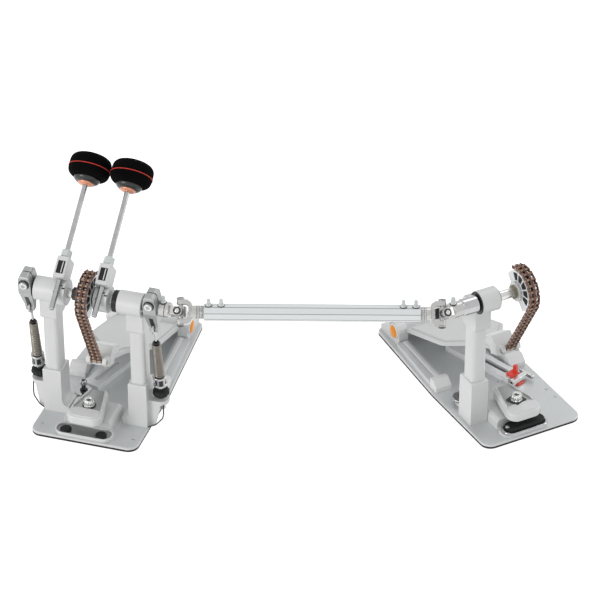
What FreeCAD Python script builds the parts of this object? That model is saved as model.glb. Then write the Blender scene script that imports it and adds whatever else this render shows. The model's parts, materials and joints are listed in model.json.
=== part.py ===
import FreeCAD, Part
import Sketcher
import math
import os
import re

# Double bass drum pedal in millimetres: x along the main axle towards the slave pedal, y towards the
# drummer, z up, with the origin on the floor under the middle of the main axle.

Vector = FreeCAD.Vector
Rotation = FreeCAD.Rotation
Placement = FreeCAD.Placement

doc = FreeCAD.newDocument("double_pedal")
sheet = doc.addObject("Spreadsheet::Sheet", "Dims")

# Driving sizes
sizes = {
    # floor plate and mat
    "base_front": 46,
    "base_waist": 90,
    "base_rear": 256,
    "base_half_front": 72,
    "base_half_rear": 62,
    "base_corner": 14,
    "base_rear_corner": 10,
    "plate_thickness": 4,
    "plate_bevel": 1.2,
    "mat_thickness": 2,
    "mat_inset": 1.5,
    # side rails on the floor plate, with raised front ends
    "rail_front": 103,
    "rail_rear": 202,
    "rail_outer_front": 68,
    "rail_outer_rear": 61,
    "rail_inner_front": 45,
    "rail_inner_rear": 41,
    "rail_height": 8,
    "rail_bevel": 2.5,
    "groove_inset": 7,
    "groove_width": 3,
    "groove_depth": 3,
    "rail_end_depth": 16,
    "rail_end_height": 15,
    "rail_end_lip": 7,
    # slotted stay bar
    "main_stay_x": 29,
    "slave_stay_x": 37,
    "stay_y": 64,
    "stay_angle": 17,
    "stay_length": 112,
    "stay_half": 12,
    "stay_height": 8,
    "stay_slot_half": 4,
    "stay_slot_front": 12,
    "stay_slot_length": 52,
    "stay_slot_depth": 4.5,
    "stay_edge": 2.5,
    "clip_half": 7,
    "clip_wall": 2.5,
    "clip_depth": 9,
    "clip_prong": 8,
    "key_side": 3.6,
    "key_y": 7,
    "key_z": 6.5,
    "key_half": 14,
    "key_wing": 10,
    "key_wing_half": 2,
    # axle, bearings and posts
    "axle_height": 197,
    "axle_radius": 6.4,
    "bearing_radius": 11.5,
    "bearing_recess": 2,
    "running_fit": 0.05,
    "seat_gap": 0.02,
    "left_post_x": 57.5,
    "right_post_x": 58.5,
    "slave_post_x": 53.5,
    "post_y": 18.5,
    "foot_half": 12.5,
    "foot_depth": 30,
    "foot_top": 70,
    "flare_width": 9,
    "flare_height": 10,
    "column_half": 10.5,
    "column_depth": 24,
    "column_round": 6,
    "housing_low": 149,
    "housing_half": 11,
    "housing_depth": 33,
    "housing_drop": 3,
    "housing_round": 5,
    "housing_crown": 12,
    "housing_radius": 15.5,
    "left_housing_outer": 12.5,
    "left_housing_inner": 11,
    "right_housing_outer": 14.5,
    "right_housing_inner": 17.2,
    "slave_housing_outer": 11,
    "slave_housing_inner": 15,
    # spring bracket on the main posts
    "bracket_thickness": 6,
    "bracket_over": 10,
    "bracket_half": 12.5,
    "gusset_thickness": 5,
    "gusset_low": 8,
    # sprocket and roller chain
    "chain_pitch": 8,
    "sprocket_teeth": 24,
    "wrap_links": 7,
    "main_run_links": 14,
    "slave_run_links": 13,
    "plate_half": 3.4,
    "plate_cut": 2.2,
    "outer_plate": 1.2,
    "outer_plate_x": 6.0,
    "inner_plate": 1.2,
    "inner_plate_x": 4.6,
    "middle_plate_half": 0.5,
    "middle_inner_x": 0.7,
    "roller_radius": 2.6,
    "chain_gap": 0.2,
    "tooth_half": 0.9,
    "tooth_height": 2.6,
    "tooth_width": 2,
    "sprocket_half": 6,
    "sprocket_cut": 8,
    "sprocket_hub_radius": 13,
    "sprocket_hub_left": 10,
    "sprocket_hub_right": 7.5,
    "window_inner": 14.5,
    "window_inner_half": 2.4,
    "window_outer": 23.5,
    "window_half": 4.8,
    # beaters
    "left_beater_x": 37,
    "right_beater_x": 19.5,
    "beater_lean": 51.6,
    "rod_offset": 18.3,
    "rod_radius": 3.7,
    "rod_below": 31,
    "head_height": 161,
    "head_radius": 27,
    "head_half": 15,
    "head_round": 8,
    "core_radius": 17,
    "core_end_radius": 12,
    "core_depth": 5.5,
    "ferrule_radius": 10.5,
    "ferrule_end_radius": 7,
    "ferrule_depth": 5,
    "hub_radius": 17,
    "hub_half": 9,
    "holder_half": 8,
    "holder_front": 27,
    "holder_back": 2,
    "holder_low": 10,
    "holder_high": 38,
    "window_depth": 1.5,
    "holder_window_half": 4.8,
    "holder_window_low": 15,
    "holder_window_high": 32,
    "collar_radius": 7.5,
    "collar_height": 11,
    # rockers, springs and adjusters
    "left_rocker_x": 81.5,
    "right_rocker_x": 84.5,
    "rocker_half": 8.5,
    "rocker_radius": 13,
    "rocker_lug_half": 12,
    "rocker_lug_top": 24,
    "rocker_crown_half": 6.5,
    "rocker_crown_round": 4,
    "rocker_slit_half": 0.8,
    "arm_end_half": 5.5,
    "arm_thickness": 8,
    "arm_reach": 35,
    "arm_bar": 6,
    "arm_slot_half": 3,
    "arm_slot_length": 12,
    "rocker_bolt_z": 12,
    "rocker_bolt_radius": 3,
    "rocker_head_radius": 5.5,
    "rocker_head_depth": 4,
    "hook_ring": 6.8,
    "hook_wire": 1.2,
    "hook_shank": 1.6,
    "hook_plug": 2.4,
    "hook_plug_length": 18,
    "spring_top": 60,
    "spring_radius": 5,
    "spring_wire": 1.4,
    "spring_pitch": 4.4,
    "spring_turns": 13,
    "adjuster_cage": 9,
    "adjuster_cage_length": 17,
    "adjuster_plug": 3.2,
    "adjuster_plug_length": 5,
    "adjuster_stem": 2.2,
    "knob_radius": 11,
    "knob_height": 10,
    "knob_lift": 1,
    "ball_radius": 4.5,
    "ball_reach": 153,
    "ball_gap": 0.3,
    "ball_sit": 0.8,
    "ball_y": 23,
    "seat_hole": 3.8,
    # drive shaft and universal joints
    "ujoint_x": 121.5,
    "shaft_angle": 16.5,
    "shaft_length": 325,
    "slave_angle": 45.5,
    "slave_ujoint_x": 116,
    "yoke_roll": 50,
    "yoke_radius": 14,
    "yoke_near": 16.5,
    "yoke_far": 23.5,
    "yoke_arm_low": 9,
    "yoke_arm_high": 15.5,
    "yoke_arm_half": 7.5,
    "cross_half": 6.5,
    "cross_pin": 2.8,
    "cross_head": 4.8,
    "cross_head_depth": 1.8,
    "cross_head_gap": 0.3,
    "open_pin_gap": 0.6,
    "shaft_rod": 6,
    "tube_flat": 10,
    "tube_start": 29,
    "tube_end_gap": 26.5,
    "left_rod_in_tube": 60,
    "rod_gap": 29.5,
    "screw_inset": 6,
    "screw_step": 15.5,
    "screw_boss": 4.2,
    "screw_boss_height": 3,
    "screw_head_half": 2.4,
    "screw_head_height": 6,
    "slave_collar_radius": 14,
    "slave_collar_right": 66,
    # heel hinge, heel plate and footboard
    "hinge_y": 215.7,
    "hinge_z": 24,
    "hinge_pin": 4,
    "hinge_lug": 12,
    "lug_inner": 43,
    "lug_outer": 57,
    "lug_gap": 1.5,
    "cap_radius": 8.3,
    "cap_depth": 2.5,
    "heel_front": 229,
    "heel_high": 30,
    "heel_low": 12,
    "barrel_radius": 9,
    "barrel_gap": 1,
    "board_reach": 207,
    "board_root": 4,
    "board_half_heel": 46,
    "board_half_mid": 47,
    "board_half_neck": 19,
    "board_half_toe": 14,
    "board_toe_gap": 27,
    "board_neck_length": 28,
    "board_taper_length": 40,
    "board_under": 2,
    "board_top": 3,
    "board_rib": 1.5,
    "board_rib_inset": 5,
    "board_rib_gap": 2,
    "board_round": 24,
    # toe clamp and the chain's toe pin
    "toe_front_gap": 9,
    "toe_half": 14,
    "toe_drop": 8,
    "toe_tongue_length": 16,
    "toe_tongue_high": 13,
    "toe_high": 18,
    "toe_slope": 8,
    "toe_lug_inner": 8.2,
    "toe_lug_outer": 13.5,
    "toe_lug_half": 6,
    "toe_lug_over": 5,
    "toe_pin": 2.2,
    "toe_pin_gap": 0.7,
    "toe_slot_reach": 14,
    # hoop clamps
    "main_clamp_x": -1.5,
    "slave_clamp_x": -8,
    "anvil_half": 38,
    "slave_anvil_half": 34,
    "anvil_front": 44,
    "anvil_back": 17,
    "anvil_height": 3.5,
    "anvil_corner": 12,
    "seat_half": 32.5,
    "seat_front": 19,
    "seat_back": 24,
    "seat_round": 6,
    "seat_height": 15,
    "pad_radius": 7.5,
    "pad_height": 4,
    "pad_x": 24,
    "pad_y": 36,
    "slave_pad_half": 28,
    "slave_pad_front": 42,
    "slave_pad_back": 25,
    "slave_pad_round": 8,
    "slave_pad_height": 8,
    "jaw_z": 26,
    "jaw_thickness": 11,
    "jaw_front": 41,
    "jaw_half": 23,
    "jaw_waist": 24,
    "jaw_tail_half": 12.5,
    "jaw_back": 24,
    "jaw_nose": 12,
    "jaw_nose_drop": 2.5,
    "jaw_heel": 6,
    "jaw_gap": 0.3,
    "jaw_round": 12,
    "jaw_edge": 3,
    "bolt_y": 12,
    "bolt_radius": 4,
    "bolt_hole_gap": 2.2,
    "bolt_seat_gap": 0.3,
    "bolt_head": 9,
    "bolt_head_height": 7,
    "bolt_socket": 3.4,
    "bolt_socket_depth": 3.5,
    "bolt_end": 3,
    # floor spurs
    "main_spur_x": 54,
    "main_spur_y": 50,
    "main_spur_left_x": 31,
    "main_spur_left_y": 45,
    "slave_spur_x": 50,
    "slave_spur_y": 53,
    "spur_boss": 8,
    "spur_boss_height": 5,
    "spur_stem": 3,
    "spur_wheel": 12.5,
    "spur_wheel_low": 6.5,
    "spur_wheel_height": 4,
    "spur_stem_top": 20,
    "spur_knob": 4.5,
    "spur_knob_height": 7,
}

# Sizes that follow from the driving ones
derived = {
    "deck_z": "=mat_thickness + plate_thickness",
    "rail_z": "=mat_thickness + plate_thickness + rail_height",
    "stay_z": "=mat_thickness + plate_thickness + stay_height",
    "pitch_radius": "=chain_pitch / (2 * sin(180 deg / sprocket_teeth))",
    "rim_radius": "=chain_pitch / (2 * tan(180 deg / sprocket_teeth)) - plate_half - chain_gap",
    "cage_top": "=spring_top + spring_pitch * spring_turns + seat_gap"
                " + spring_wire * (0.866 + spring_pitch / (pi * spring_radius))",
    "bracket_z": "=axle_height - sqrt(ball_reach * ball_reach - ball_y * ball_y) - ball_sit - bracket_thickness",
    "adjuster_tail": "=(axle_height - ball_reach - mat_thickness - plate_thickness) / 2",
    "tube_end": "=shaft_length - tube_end_gap",
    "barrel_half": "=lug_inner - barrel_gap",
    "board_toe": "=board_reach - board_toe_gap",
    "board_neck": "=board_reach - board_toe_gap - board_neck_length",
    "board_shoulder": "=board_reach - board_toe_gap - board_neck_length - board_taper_length",
    "toe_front": "=board_reach - toe_front_gap",
    "toe_lug_end": "=board_reach + toe_lug_over",
    "board_heel": "=hinge_lug + lug_gap",
    "toe_tongue": "=board_reach - board_toe_gap - toe_tongue_length",
    "board_rib_toe": "=board_reach - board_toe_gap - toe_tongue_length - board_rib_gap",
}

for row, (alias, value) in enumerate(list(sizes.items()) + list(derived.items()), start=1):
    sheet.set(f"A{row}", alias)
    sheet.set(f"B{row}", str(value))
    sheet.setAlias(f"B{row}", alias)
doc.recompute()

term = re.compile(r"([+-]?)\s*([A-Za-z_]\w*|[\d.]+)(?:\s*([*/])\s*([\d.]+))?")


def num(spec):
    # value of a sum of named sizes, such as "post_x - foot_half"
    total = 0.0
    for sign, name, operator, factor in term.findall(str(spec)):
        value = float(name) if name[0].isdigit() or name[0] == "." else float(sheet.get(name))
        if operator:
            value = value * float(factor) if operator == "*" else value / float(factor)
        total += -value if sign == "-" else value
    return total


def bind(spec):
    return re.sub(r"[A-Za-z_]\w*", lambda match: "Dims." + match.group(0), str(spec))


def flip(spec, side):
    # the same spec on the right (side 1) or mirrored on the left (side -1)
    if side > 0:
        return spec
    signed = spec if spec.lstrip()[0] in "+-" else "+" + spec
    return signed.translate(str.maketrans("+-", "-+"))


def span(low, high):
    return f"{bind(high)} - ({bind(low)})"


nodes = []


def node(name, shape, frame=None):
    shape.Label = name
    if frame is not None:
        shape.Placement = frame.multiply(shape.Placement)
    nodes.append(shape)
    return shape


# Solids from primitives
def box(x, y, z, frame=None):
    # block between two ends on each axis; a turned block takes its place from the frame
    solid = doc.addObject("Part::Box", "box")
    solid.setExpression("Length", span(*x))
    solid.setExpression("Width", span(*y))
    solid.setExpression("Height", span(*z))
    if frame is not None:
        solid.Placement = frame.multiply(at(x[0], y[0], z[0]))
        return solid
    for axis, low in zip("xyz", (x[0], y[0], z[0])):
        solid.setExpression("Placement.Base." + axis, bind(low))
    return solid


turns = {"x": Rotation(Vector(0, 1, 0), 90), "y": Rotation(Vector(1, 0, 0), -90), "z": Rotation()}


def rod(axis, ends, radius, across=("0", "0")):
    # cylinder along an axis between two ends, at the place given on the other two axes
    solid = doc.addObject("Part::Cylinder", "rod")
    solid.setExpression("Radius", bind(radius))
    solid.setExpression("Height", span(*ends))
    solid.Placement = Placement(Vector(), turns[axis])
    others = [letter for letter in "xyz" if letter != axis]
    solid.setExpression("Placement.Base." + axis, bind(ends[0]))
    for letter, place in zip(others, across):
        solid.setExpression("Placement.Base." + letter, bind(place))
    return solid


def fuse(*solids):
    joined = doc.addObject("Part::MultiFuse", "joined")
    joined.Shapes = list(solids)
    joined.Refine = True
    return joined


def cut(base, tool):
    result = doc.addObject("Part::Cut", "cut")
    result.Base = base
    result.Tool = tool
    return result


def overlap(first, second):
    shared = doc.addObject("Part::Common", "shared")
    shared.Base = first
    shared.Tool = second
    return shared


def group(*solids):
    together = doc.addObject("Part::Compound", "group")
    together.Links = list(solids)
    return together


# Solids from sketches
def origin_part(body, role):
    return next(item for item in body.Origin.OriginFeatures if item.Role == role)


def sketch(body, plane, offset="0"):
    drawing = body.newObject("Sketcher::SketchObject", "sketch")
    drawing.AttachmentSupport = [(origin_part(body, plane.upper() + "_Plane"), "")]
    drawing.MapMode = "FlatFace"
    sign = "-" if plane == "xz" else ""
    drawing.setExpression("AttachmentOffset.Base.z", f"{sign}({bind(offset)})")
    return drawing


def place(drawing, kind, target, point, spec):
    index = drawing.addConstraint(Sketcher.Constraint(kind, -1, 1, target, point, num(spec)))
    drawing.setExpression(f"Constraints[{index}]", bind(spec))


def polygon(drawing, corners):
    first = drawing.GeometryCount
    ends = [Vector(num(x), num(y), 0) for x, y in corners]
    count = len(corners)
    for index in range(count):
        drawing.addGeometry(Part.LineSegment(ends[index], ends[(index + 1) % count]))
    for index in range(count):
        drawing.addConstraint(
            Sketcher.Constraint("Coincident", first + index, 2, first + (index + 1) % count, 1))
    for index, (x, y) in enumerate(corners):
        place(drawing, "DistanceX", first + index, 1, x)
        place(drawing, "DistanceY", first + index, 1, y)
    return drawing


def rectangle(drawing, x, y):
    return polygon(drawing, [(x[0], y[0]), (x[1], y[0]), (x[1], y[1]), (x[0], y[1])])


def circle(drawing, x, y, radius):
    target = drawing.GeometryCount
    drawing.addGeometry(Part.Circle(Vector(num(x), num(y), 0), Vector(0, 0, 1), num(radius)))
    place(drawing, "DistanceX", target, 3, x)
    place(drawing, "DistanceY", target, 3, y)
    index = drawing.addConstraint(Sketcher.Constraint("Radius", target, num(radius)))
    drawing.setExpression(f"Constraints[{index}]", bind(radius))
    return drawing


def pad(body, drawing, length, symmetric=False):
    feature = body.newObject("PartDesign::Pad", "pad")
    feature.Profile = drawing
    feature.setExpression("Length", bind(length))
    if symmetric:
        feature.SideType = "Symmetric"
    drawing.Visibility = False
    doc.recompute()
    return feature


def pocket(body, drawing, length, symmetric=False, reverse=False):
    feature = body.newObject("PartDesign::Pocket", "pocket")
    feature.Profile = drawing
    feature.setExpression("Length", bind(length))
    feature.Reversed = reverse
    if symmetric:
        feature.SideType = "Symmetric"
    before = feature.BaseFeature.Shape.Volume
    doc.recompute()
    if not feature.Shape.Volume < before - 0.01:
        raise RuntimeError("a pocket removed nothing from " + body.Label)
    return feature


def revolve(body, drawing):
    # full turn about the sketch's upright axis
    feature = body.newObject("PartDesign::Revolution", "revolution")
    feature.Profile = drawing
    feature.ReferenceAxis = (drawing, ["V_Axis"])
    feature.Angle = 360
    doc.recompute()
    return feature


def mirrored(body, originals):
    feature = body.newObject("PartDesign::Mirrored", "mirrored")
    feature.Originals = originals
    feature.MirrorPlane = (origin_part(body, "YZ_Plane"), [""])
    body.Tip = feature
    doc.recompute()
    return feature


def polar(body, originals, angle, count):
    # copies about the body's own x axis
    feature = body.newObject("PartDesign::PolarPattern", "polar")
    feature.Originals = originals
    feature.Axis = (origin_part(body, "X_Axis"), [""])
    feature.Reversed = True
    feature.Angle = angle
    feature.Occurrences = count
    body.Tip = feature
    doc.recompute()
    return feature


def edges(feature, test):
    # names of the edges whose middle and direction pass the test
    names = []
    for index, edge in enumerate(feature.Shape.Edges, start=1):
        middle = edge.valueAt((edge.FirstParameter + edge.LastParameter) / 2)
        along = edge.Vertexes[-1].Point - edge.Vertexes[0].Point
        if test(middle, along):
            names.append(f"Edge{index}")
    return names


def soften(body, kind, test, size):
    base = body.Tip
    feature = body.newObject("PartDesign::" + kind, kind.lower())
    feature.Base = (base, edges(base, test))
    feature.setExpression("Radius" if kind == "Fillet" else "Size", bind(size))
    doc.recompute()
    return feature


def near(value, spec):
    return abs(value - num(spec)) < 0.02


def upright(along):
    return abs(along.x) + abs(along.y) < 0.01


def new_body(name):
    return doc.addObject("PartDesign::Body", name)


# Chain geometry: where the run leaves the sprocket so that its whole links reach the toe pin
axle = Vector(0, 0, num("axle_height"))
hinge = Vector(0, num("hinge_y"), num("hinge_z"))
pitch_radius = num("pitch_radius")
step = 360 / num("sprocket_teeth")


def on_sprocket(angle):
    # point of the pitch circle, the angle counted from the drum side upwards
    turn = math.radians(angle)
    return axle + Vector(0, -pitch_radius * math.cos(turn), pitch_radius * math.sin(turn))


def run_way(slant):
    turn = math.radians(slant)
    return Vector(0, math.sin(turn), -math.cos(turn))


def run_start(slant):
    return on_sprocket(step / 2 - slant)


def toe_point(slant, links):
    return run_start(slant) + run_way(slant) * (links * num("chain_pitch"))


def solve_slant(links):
    low, high = 0.0, 60.0
    for _ in range(60):
        middle = (low + high) / 2
        if (toe_point(middle, links) - hinge).Length > num("board_reach"):
            low = middle
        else:
            high = middle
    return (low + high) / 2


def about_x(point, angle, centre):
    return Rotation(Vector(1, 0, 0), angle).multVec(point - centre) + centre


def pressed(links):
    # board angle, slant at rest and slant of the run when the axle has turned by three links
    slant = solve_slant(links)
    toe = toe_point(slant, links)
    stroke = 3 * step
    last = about_x(on_sprocket(step * 2.5 - slant), stroke, axle)
    length = (links + 2) * num("chain_pitch")
    low, high = 0.0, 40.0
    for _ in range(60):
        middle = (low + high) / 2
        if (about_x(toe, middle, hinge) - last).Length < length:
            low = middle
        else:
            high = middle
    way = about_x(toe, low, hinge) - last
    return slant, low, math.degrees(math.atan2(way.y, -way.z))


# Frames of the two pedals and of the drive shaft
main_frame = Placement()
shaft_turn = Rotation(Vector(0, 0, 1), num("shaft_angle"))
slave_turn = Rotation(Vector(0, 0, 1), num("slave_angle"))
shaft_way = shaft_turn.multVec(Vector(1, 0, 0))
slave_way = slave_turn.multVec(Vector(1, 0, 0))
main_joint = Vector(num("ujoint_x"), 0, num("axle_height"))
slave_joint = main_joint + shaft_way * num("shaft_length")
slave_origin = slave_joint + slave_way * num("slave_ujoint_x") - Vector(0, 0, num("axle_height"))
slave_frame = Placement(slave_origin, slave_turn)
shaft_frame = Placement(main_joint, shaft_turn)


def at(x="0", y="0", z="0", turn=None):
    return Placement(Vector(num(x), num(y), num(z)), turn or Rotation())


# Floor plate with side rails
def base_plate(name, frame):
    body = new_body(name)
    outline = [("-base_half_front", "-base_front"), ("base_half_front", "-base_front"),
               ("base_half_front", "base_waist"), ("base_half_rear", "base_rear"),
               ("-base_half_rear", "base_rear"), ("-base_half_front", "base_waist")]
    pad(body, polygon(sketch(body, "xy", "mat_thickness"), outline), "plate_thickness")
    soften(body, "Fillet", lambda p, d: upright(d) and near(p.y, "-base_front"), "base_corner")
    soften(body, "Fillet", lambda p, d: upright(d) and near(p.y, "base_rear"), "base_rear_corner")
    soften(body, "Chamfer", lambda p, d: near(p.z, "deck_z"), "plate_bevel")
    drawing = sketch(body, "xy", "deck_z")
    for side in (1, -1):
        polygon(drawing, [(flip("rail_inner_front", side), "rail_front"),
                          (flip("rail_outer_front", side), "rail_front"),
                          (flip("rail_outer_rear", side), "rail_rear"),
                          (flip("rail_inner_rear", side), "rail_rear")])
    pad(body, drawing, "rail_height")
    soften(body, "Chamfer", lambda p, d: near(p.z, "rail_z") and abs(d.y) > num("rail_rear - rail_front") / 2 and
           abs(p.x) < num("rail_inner_front"), "rail_bevel")
    drawing = sketch(body, "xy", "rail_z")
    for side in (1, -1):
        polygon(drawing, [(flip("rail_inner_front + groove_inset", side), "rail_front"),
                          (flip("rail_inner_front + groove_inset + groove_width", side), "rail_front"),
                          (flip("rail_inner_rear + groove_inset + groove_width", side), "rail_rear"),
                          (flip("rail_inner_rear + groove_inset", side), "rail_rear")])
    pocket(body, drawing, "groove_depth")
    drawing = sketch(body, "yz", "rail_inner_front")
    low = "rail_front - rail_end_depth"
    polygon(drawing, [(low, "deck_z"), ("rail_front", "deck_z"),
                      ("rail_front", "deck_z + rail_end_height"),
                      ("rail_front - rail_end_lip", "deck_z + rail_end_height"),
                      (low, "deck_z + rail_end_lip")])
    end = pad(body, drawing, "rail_outer_front - rail_inner_front")
    mirrored(body, [end])
    return node(name, body, frame)


def mat(frame):
    body = new_body("mat")
    wide = "base_half_front - mat_inset"
    narrow = "base_half_rear - mat_inset"
    front = "-base_front + mat_inset"
    rear = "base_rear - mat_inset"
    outline = [(flip(wide, -1), front), (wide, front), (wide, "base_waist"), (narrow, rear),
               (flip(narrow, -1), rear), (flip(wide, -1), "base_waist")]
    pad(body, polygon(sketch(body, "xy"), outline), "mat_thickness")
    soften(body, "Fillet", lambda p, d: upright(d) and near(p.y, front), "base_corner - mat_inset")
    soften(body, "Fillet", lambda p, d: upright(d) and near(p.y, rear), "base_rear_corner - mat_inset")
    return body


def rubbers(name, pads, frame):
    return node(name, group(mat(frame), *pads), frame)


def stay_bar(side, place_x):
    # slotted bar, built along y from its front end
    body = new_body("stay")
    half = "stay_half"
    pad(body, rectangle(sketch(body, "xy"), (flip(half, -1), half), ("0", "stay_length")), "stay_height")
    soften(body, "Fillet", lambda p, d: near(p.z, "stay_height") and abs(d.y) > num("stay_length") / 2,
           "stay_edge")
    slot = sketch(body, "xy", "stay_height")
    rectangle(slot, ("-stay_slot_half", "stay_slot_half"),
              ("stay_slot_front", "stay_slot_front + stay_slot_length"))
    pocket(body, slot, "stay_slot_depth")
    soften(body, "Fillet", lambda p, d: upright(d) and near(abs(p.x), "stay_slot_half"),
           "stay_slot_half - seat_gap")
    turn = Rotation(Vector(0, 0, 1), side * num("stay_angle"))
    return body, at(flip(place_x, side), "stay_y", "deck_z", turn)


def key_clip():
    # clip over the bar's front end, with an upright grip, that holds a square drum key across it
    front = "-key_y - key_side - clip_wall"
    top = "stay_height + clip_wall"
    saddle = box(("-clip_half", "clip_half"), (front, "clip_depth"), ("0", f"{top} + clip_wall"))
    grip = box(("clip_half - clip_wall * 2", "clip_half"), ("0", "clip_wall * 2"),
               (top, f"{top} + clip_wall + clip_prong"))
    room = box(("-clip_half - 1", "clip_half + 1"), ("-seat_gap", "clip_depth + 1"),
               ("-1", "stay_height + seat_gap"))
    fit = "key_side + seat_gap"
    hole = box(("-clip_half - 1", "clip_half + 1"), (f"-key_y - {fit}", f"-key_y + {fit}"),
               (f"key_z - {fit}", f"key_z + {fit}"))
    clip = cut(fuse(saddle, grip), fuse(room, hole))
    shaft = box(("-key_half", "key_half"), ("-key_y - key_side", "-key_y + key_side"),
                ("key_z - key_side", "key_z + key_side"))
    wing = box(("key_half", "key_half + key_wing_half * 2"), ("-key_y - key_wing", "-key_y + key_wing"),
               ("key_z - key_side", "key_z + key_side"))
    socket = box(("-key_half - 1", "-key_half + key_wing"), ("-key_y - key_side / 2", "-key_y + key_side / 2"),
                 ("key_z - key_side / 2", "key_z + key_side / 2"))
    return clip, cut(fuse(shaft, wing), socket)


# Cast posts with axle housings
def post(name, role, side, frame):
    # stands behind the axle; the main posts have a flared foot and a spring bracket
    main = role != "slave"
    centre, inner, outer = role + "_post_x", role + "_housing_inner", role + "_housing_outer"
    body = new_body(name + "_casting")
    x = lambda spec: flip(f"{centre} {spec}", side)
    foot = sketch(body, "xz", "post_y + foot_depth / 2")
    flare = [(x("- foot_half"), "deck_z + flare_height"),
             (x("- foot_half - flare_width"), "deck_z + flare_height"),
             (x("- foot_half - flare_width"), "deck_z")]
    low_end = flare if main else [(x("- foot_half"), "deck_z")]
    polygon(foot, [(x("+ foot_half"), "deck_z"), (x("+ foot_half"), "foot_top"),
                   (x("- foot_half"), "foot_top")] + low_end)
    pad(body, foot, "foot_depth")
    corner = num(x("- foot_half"))
    if main:
        soften(body, "Fillet", lambda p, d: abs(p.x - corner) < 0.02 and abs(d.y) > num("foot_depth") / 2 and
               near(p.z, "deck_z + flare_height"), "flare_width - seat_gap")
    soften(body, "Fillet", lambda p, d: near(p.z, "foot_top"), "column_round / 4")
    column = sketch(body, "xy", "foot_top")
    rectangle(column, (flip(f"{centre} - column_half", side), flip(f"{centre} + column_half", side)),
              ("post_y - column_depth / 2", "post_y + column_depth / 2"))
    pad(body, column, "housing_low - foot_top")
    soften(body, "Fillet", lambda p, d: upright(d) and p.z > num("foot_top + column_round"), "column_round")
    low_x = flip(centre, side) + " - housing_half"
    block = sketch(body, "yz", low_x)
    block_top = "axle_height - housing_drop"
    rectangle(block, ("post_y - housing_depth / 2", "post_y + housing_depth / 2"), ("housing_low", block_top))
    pad(body, block, "housing_half * 2")
    soften(body, "Fillet", lambda p, d: near(p.z, block_top) and p.y > num("post_y") and
           abs(d.x) > num("housing_half"), "housing_crown")
    soften(body, "Fillet", lambda p, d: near(p.z, "housing_low") and abs(d.x) > num("housing_half"),
           "housing_round")
    ends = (f"{centre} - {inner}", f"{centre} + {outer}")
    if side < 0:
        ends = (flip(ends[1], -1), flip(ends[0], -1))
    barrel = sketch(body, "yz", ends[0])
    circle(barrel, "0", "axle_height", "housing_radius")
    pad(body, barrel, f"{inner} + {outer}")
    bore = sketch(body, "yz", ends[0])
    circle(bore, "0", "axle_height", "bearing_radius")
    pocket(body, bore, f"{inner} * 4 + {outer} * 4", symmetric=True)
    bearing = cut(rod("x", (ends[0] + " + bearing_recess", ends[1] + " - bearing_recess"),
                      "bearing_radius", ("0", "axle_height")),
                  rod("x", ends, "axle_radius + running_fit", ("0", "axle_height")))
    casting = body
    if main:
        shelf = sketch(body, "xy", "bracket_z")
        tip = flip(f"{role}_rocker_x + bracket_over", side)
        rectangle(shelf, (x("+ foot_half - 1"), tip),
                  ("ball_y - bracket_half", "ball_y + bracket_half"))
        pad(body, shelf, "bracket_thickness")
        soften(body, "Fillet", lambda p, d: upright(d) and near(p.x, tip),
               "bracket_half * 0.9")
        web = sketch(body, "xz", "ball_y - bracket_half + gusset_thickness")
        polygon(web, [(x("+ foot_half - 1"), "deck_z"), (x("+ foot_half + gusset_low"), "deck_z"),
                      (flip(f"{role}_rocker_x + bracket_over - gusset_low", side), "bracket_z"),
                      (x("+ foot_half - 1"), "bracket_z")])
        pad(body, web, "gusset_thickness")
        ball = doc.addObject("Part::Sphere", "ball_seat")
        ball.setExpression("Radius", bind("ball_radius + ball_gap"))
        ball.Placement = arm_frame(side).multiply(at(z="-ball_reach"))
        spot = ball.Placement.Base
        hole = doc.addObject("Part::Cylinder", "stem_hole")
        hole.setExpression("Radius", bind("seat_hole"))
        hole.setExpression("Height", bind("bracket_thickness * 3"))
        hole.Placement = Placement(Vector(spot.x, spot.y, num("bracket_z - bracket_thickness")), Rotation())
        casting = cut(body, fuse(ball, hole))
    node(name, casting, frame)
    return bearing


def arm_frame(side):
    # frame at the axle whose -z axis points at the adjuster's ball
    lean = math.degrees(math.asin(num("ball_y") / num("ball_reach")))
    place_x = "right_rocker_x" if side > 0 else "-left_rocker_x"
    return at(place_x, "0", "axle_height", Rotation(Vector(1, 0, 0), lean))


# Heel plate with hinge lugs, and its pin and caps
def heel_plate(name, frame):
    body = new_body(name)
    web = sketch(body, "yz", "lug_inner")
    polygon(web, [("hinge_y - hinge_lug", "deck_z"), ("heel_front + 1", "deck_z"),
                  ("heel_front + 1", "hinge_z"), ("hinge_y - hinge_lug", "hinge_z")])
    first = pad(body, web, "lug_outer - lug_inner")
    eye = circle(sketch(body, "yz", "lug_inner"), "hinge_y", "hinge_z", "hinge_lug")
    second = pad(body, eye, "lug_outer - lug_inner")
    mirrored(body, [first, second])
    deck = sketch(body, "yz", "-lug_outer")
    polygon(deck, [("heel_front", "deck_z"), ("base_rear", "deck_z"), ("base_rear", "heel_low"),
                   ("heel_front", "heel_high")])
    pad(body, deck, "lug_outer * 2")
    hole = circle(sketch(body, "yz"), "hinge_y", "hinge_z", "hinge_pin + seat_gap")
    pocket(body, hole, "lug_outer * 3", symmetric=True)
    soften(body, "Fillet", lambda p, d: near(p.y, "base_rear") and abs(p.x) > num("lug_outer") - 1 and
           upright(d), "base_rear_corner / 2")
    return node(name, body, frame)


def heel_hinge(name, frame):
    place_yz = ("hinge_y", "hinge_z")
    pin = rod("x", ("-lug_outer", "lug_outer"), "hinge_pin", place_yz)
    caps = [rod("x", ("lug_outer", "lug_outer + cap_depth"), "cap_radius", place_yz),
            rod("x", ("-lug_outer - cap_depth", "-lug_outer"), "cap_radius", place_yz)]
    return node(name, group(pin, *caps), frame)


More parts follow.
